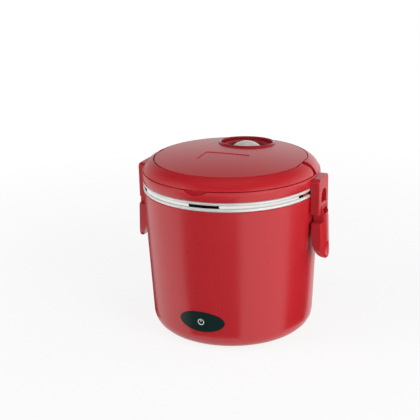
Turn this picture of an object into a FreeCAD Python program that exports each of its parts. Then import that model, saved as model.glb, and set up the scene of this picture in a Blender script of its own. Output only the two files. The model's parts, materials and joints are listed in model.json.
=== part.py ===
import FreeCAD, Part
import math
import os

# A round electric lunch box: heated casing, lift-out food bowl, lift-off lid with a
# fold-down carry handle, a steam valve and two side latches.
# Millimetres. Origin on the table under the centre, +Z up, front at -Y, latches at +X and -X.

# Shared fits
overrun = 5.0             # how far a cut runs past the face it opens
seat_gap = 0.2            # slip fit between pieces fixed to each other
move_gap = 0.4            # between faces that pass each other in use
pin_play = 0.05           # running fit of a pin in its hole

# Outer casing
foot_stand = 1.5          # the feet hold the casing this far off the table
rim_radius = 80.0         # casing radius at its top edge
wall_taper = 6.2          # the wall draws in by this from the rim to the underside
casing_height = 130.5
casing_wall = 2.4
corner_radius = 13.7      # rounding of the lower corner
floor_thickness = 2.4
boss_radius = 4.0         # screw bosses on the casing floor
boss_height = 10.0
lug_width = 12.0          # catch lugs under the latches
lug_height = 4.0
lug_reach = 0.25          # how far a lug stands out past the rim radius

# Base cover and its screws
cover_margin = 2.1        # casing underside left round the cover
cover_thickness = 3.0
cover_web = 1.2           # material left under a sunk screw head
cover_ledge = 12.0        # cover's overlap on the casing floor, round the service opening
cover_plug_height = 2.5   # locating ring that stands in the opening
cover_plug_wall = 2.0
cover_screw_inset = 6.0   # screws and feet inside the cover's edge
cover_screw_length = 9.0
screw_radius = 1.5
screw_head_radius = 2.4
screw_head_height = 1.6

# Rubber feet
foot_radius = 6.0
foot_stem_radius = 2.5
foot_stem_length = 1.5

# Heating pot and its rolled rim
pot_clearance = 1.9       # pot inside the casing wall, at the pot's floor
pot_wall = 0.8
inlet_pot_gap = 3.5       # pot underside above the power inlet
pot_corner = 6.0
bead_height = 3.4         # lower bead of the rim
bead_proud = 0.1          # bead stands out past the casing
bead_width = 3.4
bead_round = 1.3
collar_height = 2.6       # recessed band above the lower bead
collar_inset = 0.9

# Heating plate, element, studs and nuts
plate_share = 0.7         # plate radius, of the pot's
plate_thickness = 9.0
element_share = 0.68      # element's ring, of the plate radius
element_radius = 3.2
element_gap_angle = 40.0  # opening between the element's two ends, degrees
terminal_length = 5.0
stud_share = 0.87         # studs' circle, of the plate radius
stud_angle = 30.0         # first stud's place round the plate, degrees
stud_radius = 2.0
stud_end = 1.0            # thread left past the nut
nut_radius = 4.0
nut_height = 3.2

# Thermostat and thermal fuse under the plate
thermostat_radius = 8.5
thermostat_height = 7.0
thermostat_ear = 13.0     # screw distance from the centre
thermostat_ear_radius = 3.0
thermostat_ear_height = 1.2
thermostat_screw_radius = 1.2
thermostat_screw_length = 5.0
tab_width = 4.0
tab_thickness = 0.8
tab_length = 5.0
fuse_share = 0.44         # fuse in front of the plate centre, of the plate radius
fuse_radius = 2.0
fuse_length = 14.0
clip_length = 5.0
clip_wall = 1.5

# Power inlet at the back
inlet_height = 27.0       # centre above the casing underside
inlet_width = 28.0
inlet_tall = 20.0
inlet_depth = 21.0
inlet_wall = 2.0
inlet_back = 4.0          # thickness of the socket's back wall
inlet_flange = 3.5        # flange overlap round the window
inlet_flange_thickness = 1.2
inlet_corner = 3.0
blade_width = 4.0
blade_thickness = 2.0
blade_pitch = 7.0         # live and neutral blades either side of earth
blade_rise = 2.0          # earth blade above, live and neutral below the middle
blade_recess = 4.5        # blade tip behind the socket's mouth
blade_tail = 5.0          # solder tail behind the socket

# Indicator lens and lamp at the front
lens_height = 27.0        # centre above the casing underside
lens_width = 42.0
lens_tall = 19.0
lens_seat = 0.9
lens_proud = 0.4
lamp_radius = 2.5
lamp_length = 11.0
retainer_radius = 5.5
retainer_thickness = 2.0

# Leads
lead_radius = 1.0
lead_bend = 4.0
lead_straight = 0.5       # straight run between a terminal and the first bend
lead_step = 3.2           # between leads that cross
lamp_lead_radius = 0.6
lamp_lead_pitch = 2.4

# Food bowl
bowl_gap = 0.8            # bowl inside the pot, all round
bowl_wall = 0.7
bowl_floor_gap = 0.4
bowl_corner = 10.0
bowl_bead_height = 2.6
bowl_bead_width = 3.2
bowl_bead_proud = 0.2

# Lid ring
lid_gap = 0.4             # lid band above the bowl's bead
band_height = 8.6
band_bulge = 0.8          # band stands out at its middle
band_wall = 2.4
ledge_thickness = 2.4
shoulder_inset = 0.4      # shoulder foot behind the band's top edge
shoulder_height = 10.0
shoulder_round_share = 1.2 # rounding of the shoulder, of its chord
shoulder_width = 10.5     # rim radius less the radius of the domed top
flat_depth = 1.7          # depth of the flats at the handle pivots
ring_wall = 2.6           # wall between the handle and the inside of the lid
channel_mouth = 3.0       # rear shoulder starts this far behind the centre line
rear_wall = 2.4           # skin of the cored rear shoulder
notch_width = 22.0        # finger notch under the handle's front edge
notch_depth = 3.7
notch_reach = 2.8
notch_pad = 2.6           # thickening behind the notch

# Lid top
top_gap = 0.6             # groove round the top
dome_rise = 4.3
top_thickness = 2.2
plate_recess_width = 42.0
plate_recess_length = 24.0
plate_recess_depth = 0.5
plate_recess_front = 18.0 # recess centre in front of the lid centre
post_share = 0.69         # screw posts' circle, of the top's radius
post_radius = 4.0
lid_screw_length = 9.0

# Lid liner and seal
liner_inset = 6.2         # liner inside the bowl's rim
liner_thickness = 1.4
liner_skirt_gap = 2.3     # liner's skirt inside the bowl wall
liner_skirt_height = 4.5
liner_skirt_wall = 1.4
seal_inset = 4.7          # seal inside the bowl's rim
seal_thickness = 1.4
seal_gap = 0.3
seal_groove = 0.6

# Steam vent cup, along its own leaning axis
vent_share = 0.381        # vent radius, of the top's radius
vent_edge = 2.4           # top left behind the vent
vent_lean = 4.1           # degrees, leaning back with the dome
vent_lip = 2.4
vent_proud = 0.1          # lip above the dome at the vent's centre
vent_depth = 8.0
vent_wall = 1.6
vent_collar = 2.9         # straight part below the lip
vent_floor_share = 0.647  # cup floor's radius, of the vent's
vent_bow_share = 0.25     # bow of the cup's side, of its depth
vent_crest_share = 0.45   # rise of the lip's crown, of its width
tube_radius = 5.0
tube_bore = 3.0
tube_drop = 19.0          # tube end below the lip
seat_radius = 6.2
seat_height = 1.0

# Valve knob, washer and clip
knob_rise = 1.3           # knob top above the lip
knob_share = 0.483        # knob radius, of the vent's
knob_dome_share = 1.6     # rounding of the knob's top, of its radius
knob_recess_share = 0.717 # hollow under the knob, of the knob radius
stem_radius = 2.6
stem_groove = 0.7
washer_thickness = 1.6
washer_squeeze = 0.1      # left between washer and seat
valve_travel = 4.0
clip_radius = 4.4
clip_thickness = 0.9
stem_tail = 1.2

# Carry handle
handle_gap = 0.5          # handle beside the lid ring's wall
handle_lift = 0.4         # handle above the ledge
handle_wall = 2.6
handle_core_end = 18.0    # handle is solid this far in front of its pivots
pivot_setback = 7.2       # pivot in front of the centre line
pivot_pin_radius = 1.5
pivot_pin_reach = 4.5
pivot_head_radius = 2.4
pivot_head_height = 1.4

# Latch bracket
bracket_width = 27.0
bracket_depth = 7.6       # outer face beyond the rim radius
bracket_top_drop = 0.9    # bracket top below the ledge
bracket_height = 32.0
bracket_round = 0.9       # outer edges of the face
bracket_top_round = 3.5   # upper corners of the face
arch_width = 14.5
arch_crown = 10.6         # solid above the arch
arch_web = 1.6            # thin wall behind the arch
bracket_screw_pitch = 14.0
bracket_screw_length = 8.0

# Latch lever
latch_stand = 0.4         # levers and brackets clear the steel beads by this
latch_pin_depth = 2.4     # pin axis behind the bracket's face
latch_pin_drop = 25.8     # pin axis below the bracket top
latch_pin_radius = 1.25
latch_pin_grip = 3.0      # pin reach into each bracket leg
barrel_radius = 2.6       # rounded top of the tongue
tongue_gap = 0.3          # tongue beside each leg
lever_shoulder = 13.9     # full width starts this far below the pin
lever_length = 48.6       # lever end below the pin
lever_step = 3.0          # lever's face beyond the bracket's
lever_crown_radius = 38.0 # rounding across the lever's face
lever_flare = 1.2         # face stands out further at the lower end
lever_end_share = 0.89    # rounding of the lower end, of the lever's half width
lever_heel = 22.0         # inner face rounds off over this height at the end
lever_heel_depth = 9.5
window_cheek = 1.2        # tongue wall beside its opening
window_height = 5.0
window_drop = 2.3         # below the pin
pocket_height = 7.0       # pocket that takes the catch lug
pocket_depth = 2.6
pocket_drop = 15.4        # pocket top below the pin
pocket_gap = 0.6          # beside the lug
dimple_radius = 10.0      # finger dimple near the lower end
dimple_depth = 3.0
dimple_rise = 9.0         # dimple centre above the lower end

# Heights that follow from the sizes above
base_z = foot_stand
floor_z = base_z + cover_thickness
floor_top_z = floor_z + floor_thickness
rim_z = base_z + casing_height
pot_floor_height = inlet_height + inlet_tall / 2 + inlet_pot_gap
pot_z = base_z + pot_floor_height
plate_z = pot_z - plate_thickness
collar_z = rim_z + bead_height
seat_z = collar_z + collar_height
bowl_top_z = seat_z + bowl_bead_height
skirt_z = bowl_top_z + lid_gap
ledge_z = skirt_z + band_height
top_z = ledge_z + shoulder_height
top_seat_z = top_z - top_thickness
liner_z = bowl_top_z + seal_gap + seal_thickness
liner_top_z = liner_z + liner_thickness
pivot_z = (ledge_z + handle_lift + top_z) / 2
pivot_round = (top_z - ledge_z - handle_lift) / 2
inlet_z = base_z + inlet_height
lens_z = base_z + lens_height
tab_low_z = plate_z - thermostat_height - tab_length
terminal_low_z = plate_z - element_radius - terminal_length
blade_low_z = inlet_z - blade_rise - blade_width / 2
lead_z = min(tab_low_z, terminal_low_z - lead_step, blade_low_z - lead_step) - lead_bend - lead_straight

# Radii and depths that follow
base_radius = rim_radius - wall_taper
draft = math.atan2(wall_taper, casing_height)
cover_radius = base_radius - corner_radius - cover_margin
cover_opening = cover_radius - cover_ledge
cover_screw_circle = cover_radius - cover_screw_inset
pot_radius = base_radius + pot_floor_height * math.tan(draft) - casing_wall - pot_clearance
plate_radius = pot_radius * plate_share
element_circle = plate_radius * element_share
stud_circle = plate_radius * stud_share
fuse_setback = plate_radius * fuse_share
bead_radius = rim_radius + bead_proud
bead_inner = bead_radius - bead_width
bowl_radius = pot_radius - pot_wall - bowl_gap
bowl_rim = rim_radius + bowl_bead_proud
band_radius = bowl_rim
shoulder_foot = band_radius - shoulder_inset
top_radius = rim_radius - shoulder_width
pivot_flat = top_radius - flat_depth
post_circle = top_radius * post_share
vent_radius = top_radius * vent_share
vent_setback = top_radius - vent_radius - vent_edge
vent_floor_radius = vent_radius * vent_floor_share
knob_radius = vent_radius * knob_share
knob_dome = knob_radius * knob_dome_share
knob_recess_radius = knob_radius * knob_recess_share
liner_radius = bowl_rim - liner_inset
liner_skirt_radius = bowl_radius - bowl_wall - liner_skirt_gap
seal_radius = bowl_rim - seal_inset
bracket_face = rim_radius + bracket_depth
lever_face = bracket_face + lever_step
latch_inner = bowl_rim + latch_stand
bracket_top_z = ledge_z - bracket_top_drop
bracket_low_z = bracket_top_z - bracket_height
latch_pin_x = bracket_face - latch_pin_depth
latch_pin_z = bracket_top_z - latch_pin_drop
lever_low_z = latch_pin_z - lever_length
lever_end_round = bracket_width / 2 * lever_end_share
pocket_top_z = latch_pin_z - pocket_drop
lug_tip = rim_radius + lug_reach
dome_radius = (top_radius ** 2 + dome_rise ** 2) / (2 * dome_rise)

V = FreeCAD.Vector
ORIGIN = V(0, 0, 0)
ALONG_X = V(1, 0, 0)
ALONG_Y = V(0, 1, 0)
UP = V(0, 0, 1)


# Shape helpers

def flat(point):
    return V(point[0], 0, point[1])


def profile(start, *moves):
    """Face in the XZ plane. A move is a point, or a pair of points for an arc: via and end."""
    edges = []
    here = start
    for move in moves + (start,):
        if isinstance(move[0], tuple):
            edges.append(Part.Arc(flat(here), flat(move[0]), flat(move[1])).toShape())
            here = move[1]
        else:
            edges.append(Part.LineSegment(flat(here), flat(move)).toShape())
            here = move
    return Part.Face(Part.Wire(edges))


def corner(centre, radius, degrees):
    """Point on a circle in the XZ plane, for rounded corners."""
    turn = math.radians(degrees)
    return (centre[0] + radius * math.cos(turn), centre[1] + radius * math.sin(turn))


def lathe(face):
    return face.revolve(ORIGIN, UP, 360)


def disc(radius, low, high, x=0, y=0):
    return Part.makeCylinder(radius, high - low, V(x, y, low))


def hoop(outer, inner, low, high):
    return disc(outer, low, high).cut(disc(inner, low - overrun, high + overrun))


def rod(radius, start, end):
    return Part.makeCylinder(radius, (end - start).Length, start, end - start)


def block(x, y, z):
    """Box between pairs of low and high values."""
    return Part.makeBox(x[1] - x[0], y[1] - y[0], z[1] - z[0], V(x[0], y[0], z[0]))


def span(size, centre=0):
    return (centre - size / 2, centre + size / 2)


def rounded(solid, radius, wanted):
    return solid.makeFillet(radius, [edge for edge in solid.Edges if wanted(edge)])


def runs_along(edge, axis):
    if not isinstance(edge.Curve, Part.Line):
        return False
    return abs(edge.tangentAt(edge.FirstParameter).dot(axis)) > math.cos(draft)


def circle_of(count, radius, first):
    turns = [math.radians(first + 360 * step / count) for step in range(count)]
    return [(radius * math.cos(turn), radius * math.sin(turn)) for turn in turns]


def joined(solids):
    first = solids[0]
    return first.fuse(solids[1:]).removeSplitter() if len(solids) > 1 else first


def mirrored(solid):
    return solid.mirror(ORIGIN, ALONG_X)


def save(shape, name):
    shape.exportStep("parts/%s.step" % name)


def group(solids, name):
    save(Part.makeCompound(solids), name)


# Casing shape, moved inwards by an inset, or outwards by a negative one

def casing_solid(inset):
    low = base_z + inset
    round_radius = corner_radius - inset
    centre = (base_radius - corner_radius * (1 - math.sin(draft)) / math.cos(draft), base_z + corner_radius)
    leave = -math.degrees(draft)
    top_edge = rim_radius - inset / math.cos(draft)
    bend = corner(centre, round_radius, (leave - 90) / 2)
    end = corner(centre, round_radius, leave)
    return lathe(profile((0, low), (centre[0], low), (bend, end), (top_edge, rim_z), (0, rim_z)))


def wall_radius(z):
    return base_radius + (z - base_z) * math.tan(draft)


def oval_bar(width, tall, z):
    """Long oval bar through the front of the casing."""
    face = Part.Face(Part.Wire(Part.Ellipse(ORIGIN, width / 2, tall / 2).toShape()))
    face.rotate(ORIGIN, ALONG_X, 90)
    face.translate(V(0, 0, z))
    return face.extrude(V(0, -rim_radius - overrun, 0))


def inlet_bar(margin, corner_size):
    """Rounded bar through the back of the casing at the inlet."""
    x = span(inlet_width + 2 * margin)
    z = span(inlet_tall + 2 * margin, inlet_z)
    bar = block(x, (0, rim_radius + overrun), z)
    return rounded(bar, corner_size, lambda edge: runs_along(edge, ALONG_Y))


inlet_face_y = wall_radius(inlet_z) + inlet_flange_thickness
inlet_back_y = inlet_face_y - inlet_depth
cover_screws_at = circle_of(4, cover_screw_circle, 45)
feet_at = circle_of(4, cover_screw_circle, 0)


# Base: casing, cover, feet

def outer_casing():
    solid = casing_solid(0)
    room = casing_solid(casing_wall).cut(disc(rim_radius, 0, floor_top_z))
    body = solid.cut(room)
    body = body.cut(disc(cover_radius + seat_gap, base_z - overrun, floor_z))
    body = body.cut(disc(cover_opening, 0, floor_top_z + overrun))
    bosses = [disc(boss_radius, floor_z, floor_top_z + boss_height, x, y) for x, y in cover_screws_at]
    lug_z = (pocket_top_z - pocket_gap - lug_height, pocket_top_z - pocket_gap)
    lug = block((rim_radius - casing_wall - overrun, lug_tip), span(lug_width), lug_z)
    body = body.fuse(bosses + [lug.cut(room), mirrored(lug).cut(room)])
    for x, y in cover_screws_at:
        body = body.cut(disc(screw_radius, 0, floor_z + cover_screw_length, x, y))
    seat = oval_bar(lens_width + 2 * seat_gap, lens_tall + 2 * seat_gap, lens_z).cut(casing_solid(lens_seat))
    lamp_hole = rod(lamp_radius + seat_gap, V(0, -rim_radius, lens_z), V(0, 0, lens_z))
    return body.cut([seat, lamp_hole, inlet_bar(seat_gap, inlet_corner)]).removeSplitter()


def base_cover():
    plug = hoop(cover_opening - seat_gap, cover_opening - seat_gap - cover_plug_wall,
                floor_z, floor_z + cover_plug_height)
    cover = disc(cover_radius, base_z, floor_z).fuse(plug)
    for x, y in cover_screws_at:
        cover = cover.cut(disc(screw_radius + seat_gap, 0, floor_z, x, y))
        cover = cover.cut(disc(screw_head_radius + seat_gap, 0, floor_z - cover_web, x, y))
    for x, y in feet_at:
        cover = cover.cut(disc(foot_stem_radius, 0, base_z + foot_stem_length, x, y))
    return cover.removeSplitter()


def screw_up(x, y, under_head, length):
    head = disc(screw_head_radius, under_head - screw_head_height, under_head, x, y)
    return head.fuse(disc(screw_radius, under_head, under_head + length, x, y)).removeSplitter()


def cover_screws():
    under_head = floor_z - cover_web
    return [screw_up(x, y, under_head, cover_screw_length) for x, y in cover_screws_at]


def feet():
    feet_list = []
    for x, y in feet_at:
        stem = disc(foot_stem_radius, foot_stand, foot_stand + foot_stem_length, x, y)
        feet_list.append(disc(foot_radius, 0, foot_stand, x, y).fuse(stem).removeSplitter())
    return feet_list


# Heating pot and what hangs under it

def heating_pot():
    inner = pot_radius - pot_wall
    low = (pot_radius - pot_corner, pot_z + pot_corner)
    collar = bead_radius - collar_inset
    shelf = (bead_radius - bead_round, collar_z - bead_round)
    foot = (bead_radius - bead_round, rim_z + bead_round)
    return lathe(profile((0, pot_z), (low[0], pot_z),
                         (corner(low, pot_corner, -45), corner(low, pot_corner, 0)),
                         (pot_radius, seat_z - pot_wall), (bead_inner, seat_z - pot_wall),
                         (bead_inner, rim_z), (foot[0], rim_z),
                         (corner(foot, bead_round, -45), corner(foot, bead_round, 0)),
                         (bead_radius, shelf[1]),
                         (corner(shelf, bead_round, 45), corner(shelf, bead_round, 90)),
                         (collar, collar_z), (collar, seat_z), (inner, seat_z), (inner, low[1]),
                         (corner(low, pot_corner - pot_wall, -45), corner(low, pot_corner - pot_wall, -90)),
                         (0, pot_z + pot_wall)))


def element_ring(radius):
    section = Part.Face(Part.Wire(Part.makeCircle(radius, V(element_circle, 0, plate_z), ALONG_Y)))
    ring = section.revolve(ORIGIN, UP, 360 - element_gap_angle)
    ring.rotate(ORIGIN, UP, 90 + element_gap_angle / 2)
    return ring


element_ends = [(element_circle * math.sin(turn), element_circle * math.cos(turn))
                for turn in (math.radians(element_gap_angle / 2), -math.radians(element_gap_angle / 2))]
studs_at = circle_of(3, stud_circle, stud_angle)
ears_at = [(thermostat_ear, 0), (-thermostat_ear, 0)]


def heating_plate():
    plate = disc(plate_radius, plate_z, pot_z).cut(element_ring(element_radius + seat_gap))
    for x, y in element_ends:
        plate = plate.cut(Part.makeSphere(element_radius + seat_gap, V(x, y, plate_z)))
    for x, y in studs_at:
        plate = plate.cut(disc(stud_radius + seat_gap, plate_z, pot_z, x, y))
    for x, y in ears_at:
        plate = plate.cut(disc(thermostat_screw_radius, plate_z, plate_z + thermostat_screw_length, x, y))
    return plate


def heating_element():
    pieces = [element_ring(element_radius)]
    for x, y in element_ends:
        pieces.append(Part.makeSphere(element_radius, V(x, y, plate_z)))
        pieces.append(disc(stud_radius, terminal_low_z, plate_z, x, y))
    return joined(pieces)


def plate_studs():
    low = plate_z - nut_height - stud_end
    return [disc(stud_radius, low, pot_z, x, y) for x, y in studs_at]


def plate_nuts():
    nuts = []
    for x, y in studs_at:
        corners = [V(x + dx, y + dy, plate_z - nut_height) for dx, dy in circle_of(6, nut_radius, 0)]
        hexagon = Part.Face(Part.makePolygon(corners + corners[:1]))
        nut = hexagon.extrude(V(0, 0, nut_height))
        nuts.append(nut.cut(disc(stud_radius + pin_play, 0, plate_z, x, y)))
    return nuts


thermostat_low = plate_z - thermostat_height
thermostat_tabs_at = [(0, thermostat_radius - tab_width), (0, tab_width - thermostat_radius)]


def thermostat():
    pieces = [disc(thermostat_radius, thermostat_low, plate_z)]
    pieces.append(block(span(2 * thermostat_ear), span(2 * thermostat_ear_radius),
                        (plate_z - thermostat_ear_height, plate_z)))
    for x, y in ears_at:
        pieces.append(disc(thermostat_ear_radius, plate_z - thermostat_ear_height, plate_z, x, y))
    tab_z = (tab_low_z, thermostat_low)
    for x, y in thermostat_tabs_at:
        pieces.append(block(span(tab_width, x), span(tab_thickness, y), tab_z))
    body = joined(pieces)
    for x, y in ears_at:
        body = body.cut(disc(thermostat_screw_radius + seat_gap, 0, plate_z, x, y))
    return body


def thermostat_screws():
    screws = []
    for x, y in ears_at:
        under_head = plate_z - thermostat_ear_height
        head = disc(thermostat_ear_radius - seat_gap, under_head - screw_head_height, under_head, x, y)
        shank = disc(thermostat_screw_radius, under_head, plate_z + thermostat_screw_length, x, y)
        screws.append(head.fuse(shank).removeSplitter())
    return screws


fuse_z = plate_z - fuse_radius - seat_gap


def fuse_bar(radius):
    return rod(radius, V(-fuse_length / 2, -fuse_setback, fuse_z), V(fuse_length / 2, -fuse_setback, fuse_z))


def fuse_clip():
    half = fuse_radius + seat_gap + clip_wall
    saddle = block(span(clip_length), span(2 * half, -fuse_setback), (fuse_z - half, plate_z))
    slot = block(span(fuse_length), span(2 * fuse_radius + 2 * pin_play, -fuse_setback), (fuse_z, plate_z))
    return saddle.cut([slot, fuse_bar(fuse_radius + pin_play)])


# Inlet, lamp and leads

blades = {
    "live": (-blade_pitch, -blade_rise),
    "earth": (0, blade_rise),
    "neutral": (blade_pitch, -blade_rise),
}


def blade_bar(name, play):
    x, rise = blades[name]
    return block(span(blade_thickness + 2 * play, x),
                 (inlet_back_y - blade_tail, inlet_face_y - blade_recess),
                 span(blade_width + 2 * play, inlet_z + rise))


def power_inlet():
    skin = casing_solid(-inlet_flange_thickness)
    flange = inlet_bar(inlet_flange, inlet_corner + inlet_flange).common(skin).cut(casing_solid(0))
    flange = flange.common(block(span(rim_radius), (0, rim_radius), (0, rim_z)))
    body = inlet_bar(0, inlet_corner).common(skin)
    body = body.cut(block(span(rim_radius), (0, inlet_back_y), (0, rim_z)))
    mouth = inlet_bar(-inlet_wall, inlet_corner - inlet_wall)
    mouth = mouth.cut(block(span(rim_radius), (0, inlet_back_y + inlet_back), (0, rim_z)))
    body = body.fuse(flange).cut(mouth)
    return body.cut([blade_bar(name, pin_play) for name in blades]).removeSplitter()


lamp_tip_y = -(wall_radius(lens_z) - lens_seat - seat_gap)
lamp_end_y = lamp_tip_y + lamp_length
retainer_y = -(wall_radius(lens_z - retainer_radius) - casing_wall - seat_gap)


def indicator_lens():
    bar = oval_bar(lens_width, lens_tall, lens_z)
    return bar.common(casing_solid(-lens_proud)).cut(casing_solid(lens_seat))


def indicator_lamp():
    return rod(lamp_radius, V(0, lamp_tip_y, lens_z), V(0, lamp_end_y, lens_z))


def lamp_retainer():
    start = V(0, retainer_y + seat_gap, lens_z)
    end = start + V(0, retainer_thickness, 0)
    return rod(retainer_radius, start, end).cut(rod(lamp_radius + pin_play, start, end))


def lead(radius, points):
    """Round wire along straight runs joined by tangent arcs."""
    edges = []
    here = points[0]
    for before, turn, after in zip(points, points[1:], points[2:]):
        back = (before - turn).normalize()
        on = (after - turn).normalize()
        half = math.acos(max(-1.0, min(1.0, back.dot(on)))) / 2
        reach = lead_bend / math.tan(half)
        start = turn + back * reach
        end = turn + on * reach
        middle = turn + (back + on).normalize() * (lead_bend / math.sin(half) - lead_bend)
        edges.append(Part.LineSegment(here, start).toShape())
        edges.append(Part.Arc(start, middle, end).toShape())
        here = end
    edges.append(Part.LineSegment(here, points[-1]).toShape())
    path = Part.Wire(edges)
    section = Part.Wire(Part.makeCircle(radius, points[0], points[1] - points[0]))
    return path.makePipeShell([section], True, False)


def drop_lead(start, end, level):
    """Wire that drops from one terminal, crosses at a level and rises to the other."""
    return lead(lead_radius, [start, V(start.x, start.y, level), V(end.x, end.y, level), end])


def blade_tail_point(name):
    x, rise = blades[name]
    return V(x, inlet_back_y - blade_tail + blade_width / 2, inlet_z + rise - blade_width / 2 - pin_play)


def element_end_point(side):
    x, y = element_ends[side]
    return V(x, y, terminal_low_z - pin_play)


def thermostat_point(side):
    x, y = thermostat_tabs_at[side]
    return V(x, y, tab_low_z - pin_play)


def stud_point():
    x, y = studs_at[0]
    return V(x, y, plate_z - nut_height - stud_end - pin_play)


def fuse_point(side):
    return V(side * (fuse_length / 2 + pin_play), -fuse_setback, fuse_z)


def fuse_links():
    stub = V(lead_bend * 2, 0, 0)
    near = thermostat_point(1)
    left = fuse_point(-1)
    right = fuse_point(1)
    far = element_end_point(0)
    first = [near, V(near.x, near.y, lead_z), V((left - stub).x, left.y, lead_z), left - stub, left]
    second = [right, right + stub, V((right + stub).x, right.y, lead_z), V(far.x, far.y, lead_z), far]
    return [lead(lead_radius, first), lead(lead_radius, second)]


def lamp_leads():
    wires = []
    for side, name in ((-1, "live"), (1, "neutral")):
        start = V(side * lamp_lead_pitch / 2, lamp_end_y, lens_z)
        bend = start + V(0, lead_bend * 2, 0)
        end = blade_tail_point(name) - V(0, lead_radius + lamp_lead_radius + move_gap, lamp_lead_radius)
        level = lead_z - lead_step
        aside = side * plate_radius / 2
        wires.append(lead(lamp_lead_radius, [start, bend, V(aside, bend.y, level),
                                             V(aside, end.y - blade_tail, level), end]))
    return wires


# Food bowl

def food_bowl():
    inner = bowl_radius - bowl_wall
    low_z = pot_z + pot_wall + bowl_floor_gap
    low = (bowl_radius - bowl_corner, low_z + bowl_corner)
    nose_radius = bowl_bead_height / 2
    nose = (bowl_rim - nose_radius, seat_z + nose_radius)
    bead_in = bowl_rim - bowl_bead_width
    inner_corner = bowl_corner - bowl_wall
    return lathe(profile((0, low_z), (low[0], low_z),
                         (corner(low, bowl_corner, -45), corner(low, bowl_corner, 0)),
                         (bowl_radius, bowl_top_z - bowl_wall), (bead_in, bowl_top_z - bowl_wall),
                         (bead_in, seat_z), (nose[0], seat_z),
                         (corner(nose, nose_radius, 0), (nose[0], bowl_top_z)),
                         (inner, bowl_top_z), (inner, low[1]),
                         (corner(low, inner_corner, -45), corner(low, inner_corner, -90)),
                         (0, low_z + bowl_wall)))


# Lid ring and the shoulder that it shares with the handle

def flats(radius, half_width, low, high):
    """Disc with a flat on each side, at the handle pivots."""
    return disc(radius, low, high).common(block(span(2 * half_width), span(2 * radius), (low, high)))


def shoulder_solid():
    """Rounded shoulder over the ledge, from the lid's wall out to the band, all the way round."""
    foot = (shoulder_foot, ledge_z)
    crest = (top_radius, top_z)
    middle = ((foot[0] + crest[0]) / 2, (foot[1] + crest[1]) / 2)
    chord = math.hypot(foot[0] - crest[0], foot[1] - crest[1])
    shoulder_radius = chord * shoulder_round_share
    rise = shoulder_radius - math.sqrt(shoulder_radius ** 2 - chord ** 2 / 4)
    out = ((crest[1] - foot[1]) / chord, (foot[0] - crest[0]) / chord)
    via = (middle[0] + out[0] * rise, middle[1] + out[1] * rise)
    inner = pivot_flat - ring_wall
    return lathe(profile((inner, ledge_z), foot, (via, crest), (inner, top_z)))


def shoulder_core(wall):
    """Hollow inside the shoulder, one wall thickness under its surface."""
    core = shoulder_solid().copy()
    core.translate(V(0, 0, -wall))
    core = core.common(disc(shoulder_foot - wall, ledge_z - ledge_thickness - overrun, top_z))
    return core.cut(disc(top_radius + handle_gap + wall, ledge_z - ledge_thickness - overrun, top_z))


def rear_region():
    """Everything behind the channels at the handle's two ends."""
    reach = rim_radius + band_bulge + overrun
    return block((-reach, reach), (channel_mouth, reach), (0, top_z + overrun))


def band_solid():
    """Filled band of the lid, bulging a little, up to the ledge."""
    via = (band_radius + band_bulge, (skirt_z + ledge_z) / 2)
    return lathe(profile((0, skirt_z), (band_radius, skirt_z), (via, (band_radius, ledge_z)), (0, ledge_z)))


def notch():
    drop = notch_depth
    radius = (notch_width ** 2 / 4 + drop ** 2) / (2 * drop)
    z = ledge_z - drop + radius
    front = -(band_radius + band_bulge)
    return rod(radius, V(0, front - overrun, z), V(0, front + notch_reach, z))


pivot_inner_x = pivot_flat - ring_wall
bracket_screw_z = (skirt_z + ledge_z - ledge_thickness) / 2


def lid_ring():
    under_ledge = ledge_z - ledge_thickness
    inside = band_radius - band_wall
    band = band_solid().cut(disc(inside, skirt_z - overrun, under_ledge))
    pad = disc(inside + overrun, liner_top_z, under_ledge).common(band_solid())
    pad = pad.cut(disc(inside - notch_pad, skirt_z, ledge_z))
    pad = pad.common(block(span(notch_width + 2 * notch_pad), (-rim_radius - overrun, 0), (skirt_z, ledge_z)))
    wall = flats(top_radius, pivot_flat, liner_top_z, top_seat_z)
    rear_core = shoulder_core(rear_wall).common(rear_region().common(
        block(span(2 * (pivot_inner_x - ring_wall)), (channel_mouth + ring_wall, rim_radius), (0, top_z))))
    rear = shoulder_solid().common(rear_region())
    rear = rear.cut(flats(top_radius, pivot_flat, ledge_z, top_z + overrun))
    body = band.fuse([pad, wall, rear])
    hollow = flats(top_radius - ring_wall, pivot_inner_x, skirt_z - overrun, top_z + overrun)
    body = body.cut([hollow, rear_core, notch()])
    for side in (1, -1):
        shaft = V(side * rim_radius, -pivot_setback, pivot_z)
        body = body.cut(rod(pivot_pin_radius, V(0, -pivot_setback, pivot_z), shaft))
        for y in span(bracket_screw_pitch):
            end = V(side * bracket_face, y, bracket_screw_z)
            body = body.cut(rod(screw_radius + seat_gap, V(0, y, bracket_screw_z), end))
    return body.removeSplitter()


def handle_pins():
    pins = []
    for side in (1, -1):
        inner = V(side * pivot_inner_x, -pivot_setback, pivot_z)
        head = rod(pivot_head_radius, inner - V(side * pivot_head_height, 0, 0), inner)
        tip = V(side * (pivot_flat + handle_gap + pivot_pin_reach), -pivot_setback, pivot_z)
        pins.append(head.fuse(rod(pivot_pin_radius, inner, tip)).removeSplitter())
    return pins


def dome_height(radius):
    """Height of the domed top at a distance from the lid centre."""
    return top_z + dome_rise - dome_radius + math.sqrt(dome_radius ** 2 - radius ** 2)


# Vent pieces are drawn about their own axis, with the lip at zero, then set in the lid

def set_in_vent(shape):
    shape.rotate(ORIGIN, ALONG_X, -vent_lean)
    shape.translate(V(0, vent_setback, dome_height(vent_setback) + vent_proud))
    return shape


posts_at = circle_of(4, post_circle, 45)


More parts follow.
